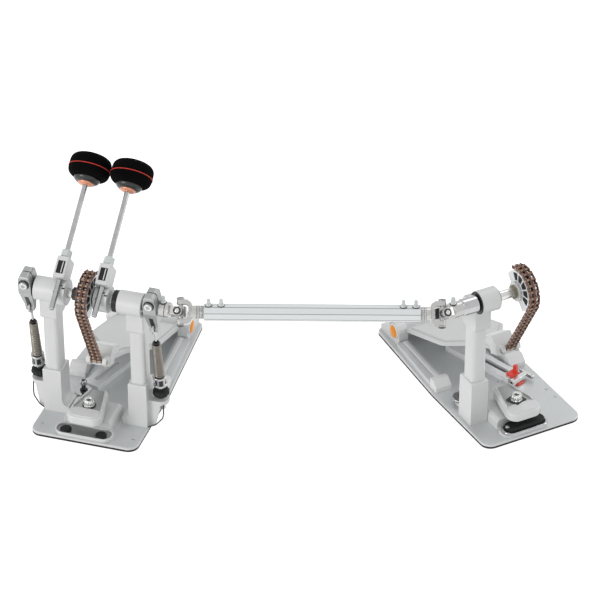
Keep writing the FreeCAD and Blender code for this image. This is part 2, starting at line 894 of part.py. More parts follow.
# Footboard and toe clamp, built level with the toe towards -y
def footboard(name, slope, frame):
    body = new_body(name)
    right = [("barrel_half", "-board_root"), ("barrel_half", "-board_heel"),
             ("board_half_heel", "-board_heel"), ("board_half_mid", "-board_shoulder"),
             ("board_half_neck", "-board_neck"), ("board_half_toe", "-board_toe")]
    left = [(flip(x, -1), y) for x, y in reversed(right)]
    plate = polygon(sketch(body, "xy", "-board_under"), right + left)
    pad(body, plate, "board_under + board_top")
    for spot in ("board_shoulder", "board_neck"):
        soften(body, "Fillet", lambda p, d: upright(d) and near(p.y, "-" + spot), "board_round")
    inset = "board_rib_inset"
    right = [(f"board_half_heel - {inset}", f"-board_heel - {inset}"),
             (f"board_half_mid - {inset}", f"-board_shoulder + {inset} / 2"),
             (f"board_half_neck - {inset}", f"-board_neck + {inset} / 2"),
             (f"board_half_toe - {inset} / 2", "-board_rib_toe")]
    left = [(flip(x, -1), y) for x, y in reversed(right)]
    tread = polygon(sketch(body, "xy", "board_top"), right + left)
    pad(body, tread, "board_rib")
    barrel = circle(sketch(body, "yz", "-barrel_half"), "0", "0", "barrel_radius")
    pad(body, barrel, "barrel_half * 2")
    bore = circle(sketch(body, "yz"), "0", "0", "hinge_pin + running_fit")
    pocket(body, bore, "barrel_half * 3", symmetric=True)
    hinged = at("0", "hinge_y", "hinge_z", Rotation(Vector(1, 0, 0), -slope))
    return node(name, body, frame.multiply(hinged))


def toe_clamp(name, slope, slot_angle, frame):
    body = new_body(name + "_block")
    side = sketch(body, "yz", "-toe_half")
    polygon(side, [("-board_toe", "-toe_drop"), ("-toe_front", "-toe_drop"), ("-toe_front", "board_top"),
                   ("-toe_front + toe_slope", "toe_high"), ("-toe_tongue", "toe_tongue_high"),
                   ("-toe_tongue", "board_top"), ("-board_toe", "board_top")])
    pad(body, side, "toe_half * 2")
    lugs = [box((low, high), ("-toe_lug_end", "-toe_front + 1"), ("-toe_lug_half", "toe_lug_half"))
            for low, high in (("toe_lug_inner", "toe_lug_outer"), ("-toe_lug_outer", "-toe_lug_inner"))]
    seat = rod("x", ("-toe_half", "toe_half"), "toe_pin + toe_pin_gap", ("-board_reach", "0"))
    tilt = Rotation(Vector(1, 0, 0), slot_angle)
    slot = box(("-toe_half", "toe_half"), ("-toe_slot_reach", "0"),
               ("-toe_pin - toe_pin_gap", "toe_pin + toe_pin_gap"), at(y="-board_reach", turn=tilt))
    clamp = cut(fuse(body, *lugs), fuse(seat, slot))
    hinged = at("0", "hinge_y", "hinge_z", Rotation(Vector(1, 0, 0), -slope))
    return node(name, clamp, frame.multiply(hinged))


# Sprocket: half-moon wheel with windows and two rows of teeth
def sprocket(name, slant, frame):
    body = new_body(name + "_wheel")
    rim = circle(sketch(body, "yz", "-sprocket_half"), "0", "0", "rim_radius")
    pad(body, rim, "sprocket_half * 2")
    window = polygon(sketch(body, "yz", "-sprocket_half"),
                     [("-window_inner", "window_inner_half"), ("-window_outer", "window_half"),
                      ("-window_outer", "-window_half"), ("-window_inner", "-window_inner_half")])
    hole = pocket(body, window, "sprocket_half * 2", reverse=True)
    polar(body, [hole], 120, 5)
    rows = []
    for low in ("middle_inner_x + inner_plate + chain_gap", "-inner_plate_x + chain_gap"):
        tooth = rectangle(sketch(body, "yz", low), ("-rim_radius - tooth_height", "-rim_radius + 1"),
                          ("-tooth_half", "tooth_half"))
        rows.append(pad(body, tooth, "tooth_width"))
    polar(body, rows, step * 8, 9)
    hub = circle(sketch(body, "yz", "-sprocket_hub_left"), "0", "0", "sprocket_hub_radius")
    pad(body, hub, "sprocket_hub_left + sprocket_hub_right")
    bore = circle(sketch(body, "yz"), "0", "0", "axle_radius + seat_gap")
    pocket(body, bore, "sprocket_hub_left * 4", symmetric=True)
    back = box(("-sprocket_half - 1", "sprocket_half + 1"), ("sprocket_cut", "rim_radius * 2"),
               ("-rim_radius * 2", "rim_radius * 2"))
    ring = rod("x", ("-sprocket_half - 2", "sprocket_half + 2"), "sprocket_hub_radius")
    trim = cut(back, ring)
    trim.Placement = at(turn=Rotation(Vector(1, 0, 0), -step * 4))
    wheel = cut(body, trim)
    turned = at(z="axle_height", turn=Rotation(Vector(1, 0, 0), slant - step))
    return node(name, wheel, frame.multiply(turned))


# Roller chain: two kinds of link, built along -z from their upper pin
def link_plate(body, low, thickness):
    half, slope = "plate_half", "plate_cut"
    far = "-chain_pitch - plate_half"
    drawing = sketch(body, "yz", low)
    polygon(drawing, [("plate_half - plate_cut", half), (half, "plate_half - plate_cut"),
                      (half, far + " + " + slope), ("plate_half - plate_cut", far),
                      ("-plate_half + plate_cut", far), ("-plate_half", far + " + " + slope),
                      ("-plate_half", "plate_half - plate_cut"), ("-plate_half + plate_cut", half)])
    return pad(body, drawing, thickness)


def outer_plates():
    bodies = []
    for low, thickness in (("outer_plate_x", "outer_plate"), ("-middle_plate_half", "middle_plate_half * 2"),
                           ("-outer_plate_x - outer_plate", "outer_plate")):
        body = new_body("outer_plate")
        link_plate(body, low, thickness)
        bodies.append(body)
    return bodies


def inner_strand(low, high):
    # two plates joined by a roller at each pin
    body = new_body("inner_strand")
    link_plate(body, low, "inner_plate")
    r = "roller_radius"
    for pin in ("0", "-chain_pitch"):
        drawing = sketch(body, "yz", f"{low} + inner_plate")
        polygon(drawing, [(r, pin), (f"{r} / 2", f"{pin} + {r} * 0.866"), (f"-{r} / 2", f"{pin} + {r} * 0.866"),
                          (f"-{r}", pin), (f"-{r} / 2", f"{pin} - {r} * 0.866"),
                          (f"{r} / 2", f"{pin} - {r} * 0.866")])
        pad(body, drawing, "inner_plate_x - middle_inner_x - inner_plate")
    link_plate(body, high, "inner_plate")
    return body


plain_link = group(*outer_plates())
roller_link = group(inner_strand("middle_inner_x", "inner_plate_x"),
                    inner_strand("-inner_plate_x - inner_plate", "-middle_inner_x - inner_plate"))
toe_link = fuse(*outer_plates(), rod("x", ("-toe_lug_outer", "toe_lug_outer"), "toe_pin",
                                     ("0", "-chain_pitch")))


def chain_link(kind, upper, lower):
    link = doc.addObject("App::Link", "link")
    link.LinkedObject = kind
    way = lower - upper
    turn = math.degrees(math.atan2(way.y, -way.z))
    link.Placement = Placement(upper, Rotation(Vector(1, 0, 0), turn))
    return link


def chain(prefix, slant, links, frame):
    # pins are counted up the sprocket from the start of the straight run
    wrap_end = int(num("wrap_links")) + 2
    pins = [on_sprocket(step * (count + 0.5) - slant) for count in range(wrap_end + 1)]
    run = [pins[0] + run_way(slant) * (num("chain_pitch") * count) for count in range(links + 1)]
    kinds = [plain_link, roller_link]
    wrap = [chain_link(kinds[(links + count) % 2], pins[count + 1], pins[count])
            for count in range(2, wrap_end)]
    straight = [chain_link(kinds[(links - count) % 2], run[count - 1], run[count])
                for count in range(1, links)]
    straight.append(chain_link(toe_link, run[links - 1], run[links]))
    node(prefix + "_chain_wrap", group(*wrap), frame)
    node(prefix + "_chain_link_a", group(chain_link(kinds[(links + 1) % 2], pins[2], pins[1])), frame)
    node(prefix + "_chain_link_b", group(chain_link(kinds[links % 2], pins[1], pins[0])), frame)
    node(prefix + "_chain_run", group(*straight), frame)


# Beaters, built upright over the axle
def beater(prefix, side, offset):
    lean = at(flip(offset, side), z="axle_height", turn=Rotation(Vector(1, 0, 0), -num("beater_lean")))
    body = new_body(prefix + "_holder")
    ring = circle(sketch(body, "yz", "-hub_half"), "0", "0", "hub_radius")
    pad(body, ring, "hub_half * 2")
    block = sketch(body, "yz", "-holder_half")
    rectangle(block, ("-holder_front", "-holder_back"), ("holder_low", "holder_high"))
    pad(body, block, "holder_half * 2")
    soften(body, "Fillet", lambda p, d: near(p.y, "-holder_front") and upright(d),
           "holder_half / 4")
    window = sketch(body, "xz", "-holder_front")
    rectangle(window, ("-holder_window_half", "holder_window_half"),
              ("holder_window_low", "holder_window_high"))
    pocket(body, window, "window_depth")
    bore = circle(sketch(body, "yz"), "0", "0", "axle_radius + seat_gap")
    pocket(body, bore, "hub_half * 4", symmetric=True)
    hole = circle(sketch(body, "xy", "holder_high"), "0", "-rod_offset", "rod_radius + seat_gap")
    pocket(body, hole, "holder_high + hub_radius + 1")
    node(prefix + "_beater_hub", body, lean)
    ferrule_low = "head_height - head_half - core_depth - ferrule_depth"
    place_xy = ("0", "-rod_offset")
    shaft = rod("z", ("-rod_below", ferrule_low), "rod_radius", place_xy)
    collar = doc.addObject("Part::Prism", "collar")
    collar.Polygon = 6
    collar.setExpression("Circumradius", bind("collar_radius"))
    collar.setExpression("Height", bind("collar_height"))
    collar.setExpression("Placement.Base.y", bind("-rod_offset"))
    collar.setExpression("Placement.Base.z", bind("holder_high + seat_gap"))
    node(prefix + "_beater_rod", fuse(shaft, collar), lean)
    felt = new_body(prefix + "_felt")
    half = sketch(felt, "xz")
    rectangle(half, ("0", "head_radius"), ("head_height - head_half", "head_height + head_half"))
    revolve(felt, half)
    soften(felt, "Fillet", lambda p, d: abs(p.x) + abs(p.y) > 1, "head_round")
    felt.Placement = at(y="-rod_offset")
    core = new_body(prefix + "_core")
    core_low = "head_height - head_half - core_depth"
    polygon(sketch(core, "xz"), [("0", ferrule_low), ("ferrule_end_radius", ferrule_low),
                                 ("ferrule_radius", f"{ferrule_low} + ferrule_depth / 2"),
                                 ("ferrule_radius", core_low), ("core_end_radius", core_low),
                                 ("core_radius", "head_height - head_half"),
                                 ("0", "head_height - head_half")])
    revolve(core, core.Group[-1])
    core.Placement = at(y="-rod_offset")
    node(prefix + "_beater_head", group(felt, core), lean)


# Rocker arms, spring hooks, springs and adjusters, built down the -z axis of the arm frame
def rocker(prefix, side):
    # clamp ring, slit lug and arm in side view, trimmed to a front view that tapers to the hook
    body = new_body(prefix + "_arm")
    ring = circle(sketch(body, "yz", "-rocker_half"), "0", "0", "rocker_radius")
    pad(body, ring, "rocker_half * 2")
    lug = sketch(body, "yz", "-rocker_half")
    rectangle(lug, ("-rocker_lug_half", "rocker_lug_half"), ("0", "rocker_lug_top"))
    pad(body, lug, "rocker_half * 2")
    soften(body, "Fillet", lambda p, d: near(p.z, "rocker_lug_top") and abs(d.x) > num("rocker_half"),
           "rocker_lug_half / 3")
    end = "-arm_reach - arm_bar / 2"
    thin = "arm_thickness / 2"
    arm = polygon(sketch(body, "yz", "-rocker_half"),
                  [("-rocker_radius", "0"), ("-" + thin, "-arm_reach + arm_bar"), ("-" + thin, end),
                   (thin, end), (thin, "-arm_reach + arm_bar"), ("rocker_radius", "0")])
    pad(body, arm, "rocker_half * 2")
    eye = sketch(body, "xz")
    rectangle(eye, ("-arm_slot_half", "arm_slot_half"),
              ("-arm_reach + arm_bar / 2", "-arm_reach + arm_bar / 2 + arm_slot_length"))
    pocket(body, eye, "rocker_radius * 4", symmetric=True)
    slit = sketch(body, "yz")
    rectangle(slit, ("-rocker_slit_half", "rocker_slit_half"), ("0", "rocker_lug_top + 1"))
    pocket(body, slit, "rocker_half * 4", symmetric=True)
    bore = circle(sketch(body, "yz"), "0", "0", "axle_radius + seat_gap")
    pocket(body, bore, "rocker_half * 4", symmetric=True)
    face = new_body(prefix + "_arm_face")
    wide, crown = "rocker_half", "rocker_crown_half"
    front = polygon(sketch(face, "xz", "rocker_radius * 2"),
                    [("-" + crown, "rocker_lug_top"), (crown, "rocker_lug_top"), (wide, "rocker_bolt_z"),
                     (wide, "-axle_radius"), ("arm_end_half", end), ("-arm_end_half", end),
                     ("-" + wide, "-axle_radius"), ("-" + wide, "rocker_bolt_z")])
    pad(face, front, "rocker_radius * 4")
    soften(face, "Fillet", lambda p, d: near(p.z, "rocker_lug_top") and abs(d.y) > num("rocker_radius"),
           "rocker_crown_round")
    head = rod("y", ("-rocker_lug_half - rocker_head_depth", "-rocker_lug_half"), "rocker_head_radius",
               ("0", "rocker_bolt_z"))
    node(prefix + "_rocker", group(overlap(body, face), head), arm_frame(side))


def hook(prefix, side):
    middle = ("0", "-arm_reach")
    ring = cut(rod("x", ("-hook_wire", "hook_wire"), "hook_ring + hook_wire", middle),
               rod("x", ("-hook_wire * 2", "hook_wire * 2"), "hook_ring - hook_wire", middle))
    shank = rod("z", ("-spring_top", "-arm_reach - hook_ring"), "hook_shank")
    plug = rod("z", ("-spring_top - hook_plug_length", "-spring_top"), "hook_plug")
    node(prefix + "_spring_hook", fuse(ring, shank, plug), arm_frame(side))


def biarc(start, way, end, way_end):
    # two arcs that meet smoothly between two points with given directions
    across = end - start
    a = 2 * (1 - way.dot(way_end))
    b = 2 * across.dot(way + way_end)
    c = -across.dot(across)
    reach = (-b + math.sqrt(b * b - 4 * a * c)) / (2 * a)
    first = start + way * reach
    second = end - way_end * reach
    middle = (first + second) / 2
    arcs = []
    for low, corner, high in ((start, first, middle), (middle, second, end)):
        chord = (low + high) / 2
        half = (high - low).Length / 2
        toward = (corner - chord).normalize()
        angle = math.asin(min(1.0, half / (corner - low).Length))
        bulge = half * (1 - math.sin(angle)) / math.cos(angle) if angle < 1.5 else half * 0.01
        arcs.append(Part.Arc(low, chord + toward * bulge, high).toShape())
    return arcs


def spring(prefix, side):
    radius, pitch = num("spring_radius"), num("spring_pitch")
    turns_count, wire = int(num("spring_turns")), num("spring_wire")

    def point(half_turns):
        turn = math.pi * half_turns
        return Vector(radius * math.cos(turn), radius * math.sin(turn),
                      -num("spring_top") - pitch * half_turns / 2)

    def heading(half_turns):
        turn = math.pi * half_turns
        return Vector(-radius * math.sin(turn), radius * math.cos(turn), -pitch / (2 * math.pi)).normalize()

    path = [Part.makeLine(point(0) - heading(0) * (2 * wire), point(0))]
    for count in range(2 * turns_count):
        path += biarc(point(count), heading(count), point(count + 1), heading(count + 1))
    last = 2 * turns_count
    path.append(Part.makeLine(point(last), point(last) + heading(last) * (2 * wire)))
    line = Part.Wire(path)
    start = point(0) - heading(0) * (2 * wire)
    side_way = heading(0).cross(Vector(0, 0, 1)).normalize()
    lift_way = heading(0).cross(side_way)
    corners = []
    for count in range(7):
        turn = math.radians(60 * count)
        corners.append(start + side_way * (wire * math.cos(turn)) + lift_way * (wire * math.sin(turn)))
    coil = line.makePipeShell([Part.makePolygon(corners)], True, False)
    feature = doc.addObject("Part::Feature", prefix + "_coil")
    feature.Shape = coil
    samples = line.discretize(Number=turns_count * 24)
    gap = min((p - q).Length for i, p in enumerate(samples) for q in samples[i + 12:]) - 2 * wire
    print(f"{prefix}_spring least gap between turns {gap:.2f} mm")
    node(prefix + "_spring", feature, arm_frame(side))


def adjuster(prefix, side):
    cage = doc.addObject("Part::Prism", "cage")
    cage.Polygon = 6
    cage.setExpression("Circumradius", bind("adjuster_cage"))
    cage.setExpression("Height", bind("adjuster_cage_length"))
    cage.setExpression("Placement.Base.z", bind("-cage_top - adjuster_cage_length"))
    plug = rod("z", ("-cage_top", "-cage_top + adjuster_plug_length"), "adjuster_plug")
    knob_top = "-cage_top - adjuster_cage_length - knob_lift"
    knob = rod("z", (f"{knob_top} - knob_height", knob_top), "knob_radius")
    stem = rod("z", ("-ball_reach - adjuster_tail", "-cage_top - 1"), "adjuster_stem")
    ball = doc.addObject("Part::Sphere", "ball")
    ball.setExpression("Radius", bind("ball_radius"))
    ball.setExpression("Placement.Base.z", bind("-ball_reach"))
    node(prefix + "_spring_adjuster", fuse(cage, plug, knob, stem, ball), arm_frame(side))


# Drive shaft: yokes, crosses and the telescopic tube
roll = math.radians(num("yoke_roll"))
front_way = shaft_turn.multVec(Vector(0, -1, 0))
shaft_pin = front_way * math.cos(roll) - Vector(0, 0, 1) * math.sin(roll)
main_pin = Vector(1, 0, 0).cross(shaft_pin).normalize()
slave_pin = slave_way.cross(shaft_pin).normalize()


def turned(first, second):
    return Rotation(first, second, first.cross(second), "XYZ")


def yoke(centre, outward, pin, hole_gap):
    # fork whose arms hold the pin, opening away from its own shaft
    disc = rod("x", ("yoke_near", "yoke_far"), "yoke_radius")
    arms = []
    for low, high in (("yoke_arm_low", "yoke_arm_high"), ("-yoke_arm_high", "-yoke_arm_low")):
        arms.append(rod("y", (low, high), "yoke_arm_half"))
        arms.append(box(("0", "yoke_near + 1"), (low, high), ("-yoke_arm_half", "yoke_arm_half")))
    holes = rod("y", ("-yoke_arm_high - 1", "yoke_arm_high + 1"), f"cross_pin + {hole_gap}")
    fork = cut(fuse(disc, *arms), holes)
    fork.Placement = Placement(centre, turned(outward, pin))
    return fork


def cross(name, centre, first, second):
    block = box(("-cross_half", "cross_half"), ("-cross_half", "cross_half"), ("-cross_half", "cross_half"))
    pieces = [block]
    end = "yoke_arm_high + cross_head_gap"
    for axis in "yz":
        pieces.append(rod(axis, (flip(end, -1), end), "cross_pin"))
        pieces.append(rod(axis, (end, f"{end} + cross_head_depth"), "cross_head"))
        pieces.append(rod(axis, (flip(f"{end} + cross_head_depth", -1), flip(end, -1)), "cross_head"))
    spider = fuse(*pieces)
    spider.Placement = Placement(centre, turned(first.cross(second), first))
    return node(name, spider)


def free_rod(ends, radius):
    # rod along the shaft, placed by the shaft's frame
    solid = doc.addObject("Part::Cylinder", "rod")
    solid.setExpression("Radius", bind(radius))
    solid.setExpression("Height", span(*ends))
    solid.Placement = shaft_frame.multiply(Placement(Vector(num(ends[0]), 0, 0), turns["x"]))
    return solid


def drive_shaft():
    axle_rod = rod("x", ("sprocket_hub_right + 2", "ujoint_x - yoke_near"), "axle_radius", ("0", "axle_height"))
    node("drive_axle", fuse(axle_rod, yoke(main_joint, Vector(-1, 0, 0), main_pin, "running_fit")))
    cross("main_cross", main_joint, main_pin, shaft_pin)
    left_rod = free_rod(("yoke_near", "tube_start + left_rod_in_tube"), "shaft_rod")
    node("shaft_left_yoke", fuse(left_rod, yoke(main_joint, shaft_way, shaft_pin, "open_pin_gap")))
    tube = doc.addObject("Part::Prism", "tube")
    tube.Polygon = 8
    tube.setExpression("Circumradius", bind("tube_flat") + " / cos(22.5 deg)")
    tube.setExpression("Height", span("tube_start", "tube_end"))
    eighth = turns["x"].multiply(Rotation(Vector(0, 0, 1), 22.5))
    tube.Placement = shaft_frame.multiply(at("tube_start", turn=eighth))
    node("shaft_tube", cut(tube, free_rod(("tube_start - 1", "tube_end + 1"), "shaft_rod + running_fit")))
    screws = []
    for place_x in ("tube_start + screw_inset", "tube_start + screw_inset + screw_step",
                    "tube_end - screw_inset - screw_step", "tube_end - screw_inset"):
        boss = rod("z", ("tube_flat", "tube_flat + screw_boss_height"), "screw_boss", (place_x, "0"))
        low = "tube_flat + screw_boss_height - seat_gap"
        head = box((f"{place_x} - screw_head_half", f"{place_x} + screw_head_half"),
                   ("-screw_head_half", "screw_head_half"), (low, f"{low} + screw_head_height"))
        screws.append(fuse(boss, head))
    node("shaft_screws", group(*screws), shaft_frame)
    right_rod = free_rod(("tube_start + left_rod_in_tube + rod_gap", "shaft_length - yoke_near"), "shaft_rod")
    node("shaft_right_yoke", fuse(right_rod, yoke(slave_joint, shaft_way * -1, shaft_pin, "open_pin_gap")))
    cross("slave_cross", slave_joint, slave_pin, shaft_pin)


def slave_axle():
    length = doc.addObject("Part::Cylinder", "slave_rod")
    length.setExpression("Radius", bind("axle_radius"))
    length.setExpression("Height", bind("slave_ujoint_x - yoke_near + sprocket_hub_right + 2"))
    length.Placement = slave_frame.multiply(at("-slave_ujoint_x + yoke_near", "0", "axle_height", turns["x"]))
    sleeve = doc.addObject("Part::Cylinder", "slave_sleeve")
    sleeve.setExpression("Radius", bind("slave_collar_radius"))
    sleeve.setExpression("Height", bind("slave_ujoint_x - yoke_far - slave_collar_right"))
    sleeve.Placement = slave_frame.multiply(at("-slave_ujoint_x + yoke_far", "0", "axle_height", turns["x"]))
    node("slave_axle", fuse(length, sleeve, yoke(slave_joint, slave_way, slave_pin, "running_fit")))


# Hoop clamps
def clamp_base(name, centre, half, frame):
    body = new_body(name)
    anvil = sketch(body, "xy", "deck_z")
    rectangle(anvil, (f"{centre} - {half}", f"{centre} + {half}"), ("-anvil_front", "-anvil_back"))
    pad(body, anvil, "anvil_height")
    soften(body, "Fillet", lambda p, d: upright(d), "anvil_corner")
    seat = sketch(body, "xy", "deck_z")
    rectangle(seat, (f"{centre} - seat_half", f"{centre} + seat_half"), ("-seat_front - 1", "seat_back"))
    pad(body, seat, "seat_height")
    soften(body, "Fillet", lambda p, d: near(p.z, "deck_z + seat_height") and
           near(abs(p.x - num(centre)), "seat_half"), "seat_round")
    hole = circle(sketch(body, "xy", "deck_z + seat_height"), centre, "-bolt_y", "bolt_radius + jaw_gap")
    pocket(body, hole, "seat_height")
    return node(name, body, frame)


def clamp_jaw(name, centre, frame):
    body = new_body(name)
    x = lambda side, half: f"{centre} {'+' if side > 0 else '-'} {half}"
    outline = [(x(1, "jaw_half"), "-jaw_front"), (x(1, "jaw_half"), "-jaw_waist"),
               (x(1, "jaw_tail_half"), "jaw_back"), (x(-1, "jaw_tail_half"), "jaw_back"),
               (x(-1, "jaw_half"), "-jaw_waist"), (x(-1, "jaw_half"), "-jaw_front")]
    pad(body, polygon(sketch(body, "xy", "jaw_z"), outline), "jaw_thickness")
    soften(body, "Fillet", lambda p, d: upright(d) and near(p.y, "-jaw_front"), "jaw_round")
    soften(body, "Fillet", lambda p, d: near(p.z, "jaw_z + jaw_thickness"), "jaw_edge")
    nose = sketch(body, "xy", "jaw_z - jaw_nose_drop")
    rectangle(nose, (x(-1, "jaw_tail_half"), x(1, "jaw_tail_half")),
              ("-jaw_front + jaw_edge", "-jaw_front + jaw_edge + jaw_nose"))
    pad(body, nose, "jaw_nose_drop + jaw_edge")
    heel = sketch(body, "xy", "deck_z + seat_height + jaw_gap")
    rectangle(heel, (x(-1, "jaw_tail_half"), x(1, "jaw_tail_half")), ("jaw_back - jaw_heel", "jaw_back"))
    pad(body, heel, "jaw_z - deck_z - seat_height - jaw_gap + jaw_edge")
    hole = circle(sketch(body, "xy", "jaw_z"), centre, "-bolt_y", "bolt_radius + bolt_hole_gap")
    pocket(body, hole, "jaw_thickness", reverse=True)
    return node(name, body, frame)


def clamp_bolt(name, centre, frame):
    body = new_body(name)
    low = "deck_z + bolt_end"
    seat = "jaw_z + jaw_thickness + bolt_seat_gap"
    top = f"{seat} + bolt_head_height"
    profile = sketch(body, "xz")
    polygon(profile, [("0", low), ("bolt_radius", low), ("bolt_radius", seat), ("bolt_head", seat),
                      ("bolt_head", f"{seat} + bolt_head_height / 2"), ("bolt_head * 0.7", top), ("0", top)])
    revolve(body, profile)
    socket = circle(sketch(body, "xy", top), "0", "0", "bolt_socket")
    pocket(body, socket, "bolt_socket_depth")
    return node(name, body, frame.multiply(at(centre, "-bolt_y")))


# Floor spurs, turned profiles in one shared node
def spurs(name, places, frame):
    pieces = []
    for x, y in places:
        body = new_body("spur")
        wheel = "deck_z + spur_wheel_low"
        wheel_top = f"{wheel} + spur_wheel_height"
        stem_top = "deck_z + spur_stem_top"
        knob_top = f"{stem_top} + spur_knob_height"
        boss_top = "deck_z + spur_boss_height"
        profile = sketch(body, "xz")
        polygon(profile, [("0", "deck_z"), ("spur_boss", "deck_z"), ("spur_boss * 0.8", boss_top),
                          ("spur_stem", boss_top), ("spur_stem", wheel), ("spur_wheel", wheel),
                          ("spur_wheel", wheel_top), ("spur_stem", wheel_top), ("spur_stem", stem_top),
                          ("spur_knob", stem_top), ("spur_knob", knob_top), ("0", knob_top)])
        revolve(body, profile)
        body.Placement = at(x, y)
        pieces.append(body)
    return node(name, group(*pieces), frame)


# Both pedals
def pedal(prefix, links, frame):
    slant, travel, slant_full = pressed(links)
    toe = toe_point(slant, links)
    slope = math.degrees(math.atan2(toe.z - hinge.z, hinge.y - toe.y))
    print(f"{prefix} slope {slope:.4f} slant {slant:.4f} travel {travel:.4f} full slant {slant_full:.4f}")
    base_plate(prefix + "_base_plate", frame)
    heel_plate(prefix + "_heel_plate", frame)
    heel_hinge(prefix + "_heel_hinge", frame)
    footboard(prefix + "_footboard", slope, frame)
    swing = (slope + slant + slope - travel + slant_full) / 2
    toe_clamp(prefix + "_toe_clamp", slope, 90 - swing, frame)
    sprocket(prefix + "_sprocket", slant, frame)
    chain(prefix, slant, links, frame)
    centre = prefix + "_clamp_x"
    clamp_base(prefix + "_clamp_base", centre, "anvil_half" if prefix == "main" else "slave_anvil_half", frame)
    clamp_jaw(prefix + "_clamp_jaw", centre, frame)
    clamp_bolt(prefix + "_clamp_bolt", centre, frame)


pedal("main", int(num("main_run_links")), main_frame)
spurs("main_spurs", [("main_spur_x", "main_spur_y"), ("-main_spur_left_x", "main_spur_left_y")], main_frame)
pads = [rod("z", ("deck_z + anvil_height", "deck_z + anvil_height + pad_height"), "pad_radius",
            (flip("pad_x", side), "-pad_y")) for side in (1, -1)]
rubbers("main_rubbers", pads, main_frame)
bar, bar_frame = stay_bar(-1, "main_stay_x")
node("main_stay_bar", bar, bar_frame)
left_bearing = post("main_left_post", "left", -1, main_frame)
right_bearing = post("main_right_post", "right", 1, main_frame)
node("main_bearings", group(left_bearing, right_bearing))
node("main_axle", rod("x", ("-left_rocker_x - rocker_half - 1", "sprocket_hub_right"), "axle_radius",
                      ("0", "axle_height")))
beater("left", -1, "left_beater_x")
beater("right", 1, "right_beater_x")
for prefix, side in (("left", -1), ("right", 1)):
    rocker(prefix, side)
    hook(prefix, side)
    spring(prefix, side)
    adjuster(prefix, side)

pedal("slave", int(num("slave_run_links")), slave_frame)
spurs("slave_spurs", [("-slave_spur_x", "slave_spur_y")], slave_frame)
block_z = "deck_z + anvil_height"
slave_pad = new_body("slave_pad")
rectangle(sketch(slave_pad, "xy", block_z),
          ("slave_clamp_x - slave_pad_half", "slave_clamp_x + slave_pad_half"),
          ("-slave_pad_front", "-slave_pad_back"))
pad(slave_pad, slave_pad.Group[-1], "slave_pad_height")
soften(slave_pad, "Fillet", lambda p, d: upright(d), "slave_pad_round")
rubbers("slave_rubbers", [slave_pad], slave_frame)
bar, bar_frame = stay_bar(1, "slave_stay_x")
node("slave_stay_bar", group(bar, *key_clip()), slave_frame.multiply(bar_frame))
slave_bearing = post("slave_post", "slave", -1, slave_frame)
node("slave_bearing", slave_bearing, slave_frame)
drive_shaft()
slave_axle()

# Check every object, then write one file per node
doc.recompute()
for item in doc.Objects:
    if "Invalid" in item.State or "Error" in item.State:
        raise RuntimeError(f"{item.Name} ({item.Label}) is in state {item.State}")
os.makedirs("parts", exist_ok=True)
for item in nodes:
    if item.Shape.isNull() or not item.Shape.isValid():
        raise RuntimeError(item.Label + " has no valid shape")
    item.Shape.exportStep(f"parts/{item.Label}.step")
print(f"slave origin {slave_origin.x:.4f} {slave_origin.y:.4f}")
print(f"{len(nodes)} nodes written")
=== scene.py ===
import json
import math
import bmesh
import bpy
from mathutils import Matrix, Vector


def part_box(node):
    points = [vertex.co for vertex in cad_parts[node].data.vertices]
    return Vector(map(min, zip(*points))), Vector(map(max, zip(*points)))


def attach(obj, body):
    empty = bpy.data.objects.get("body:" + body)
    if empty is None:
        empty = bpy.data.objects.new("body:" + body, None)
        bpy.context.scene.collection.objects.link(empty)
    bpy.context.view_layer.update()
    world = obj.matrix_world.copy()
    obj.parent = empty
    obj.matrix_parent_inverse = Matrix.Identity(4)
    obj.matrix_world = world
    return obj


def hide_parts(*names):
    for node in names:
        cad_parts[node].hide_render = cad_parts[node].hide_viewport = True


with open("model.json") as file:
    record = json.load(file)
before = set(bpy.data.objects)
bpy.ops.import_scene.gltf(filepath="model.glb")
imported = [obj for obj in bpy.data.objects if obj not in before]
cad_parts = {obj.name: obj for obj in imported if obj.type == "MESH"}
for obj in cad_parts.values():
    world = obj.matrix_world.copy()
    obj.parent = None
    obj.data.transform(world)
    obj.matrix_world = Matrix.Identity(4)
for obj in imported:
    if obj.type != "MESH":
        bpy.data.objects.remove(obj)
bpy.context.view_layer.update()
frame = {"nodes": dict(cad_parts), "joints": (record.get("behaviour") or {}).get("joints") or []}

nodes = frame["nodes"]
joints = {joint["name"]: joint for joint in frame["joints"]}
sides = ("left", "right")
pedals = ("main", "slave")
scene = bpy.context.scene
scene.view_settings.view_transform = "Standard"
print("frame loaded,", len(nodes), "nodes")

# camera at the photo's angle
cameraSetup = dict(
    azimuth=17.2, elevation=33.4, distance=4.079, lookAt=(0.2130, 0.2066, 0.1026),
    focalPixels=3123.0, framePixels=600.0, sensor=36.0, clipEnd=50,
)


def placeAimed(name, data, place, aim):
    item = bpy.data.objects.new(name, data)
    scene.collection.objects.link(item)
    item.location = place
    item.rotation_mode = "QUATERNION"
    item.rotation_quaternion = aim.to_track_quat("-Z", "Y")
    return item


def makeCamera(setup):
    turn, lift = math.radians(setup["azimuth"]), math.radians(setup["elevation"])
    back = Vector((math.sin(turn) * math.cos(lift), -math.cos(turn) * math.cos(lift), math.sin(lift)))
    data = bpy.data.cameras.new("photoCamera")
    data.sensor_width = setup["sensor"]
    data.lens = setup["focalPixels"] / setup["framePixels"] * setup["sensor"]
    data.clip_end = setup["clipEnd"]
    place = Vector(setup["lookAt"]) + back * setup["distance"]
    scene.camera = placeAimed("photoCamera", data, place, -back)


makeCamera(cameraSetup)

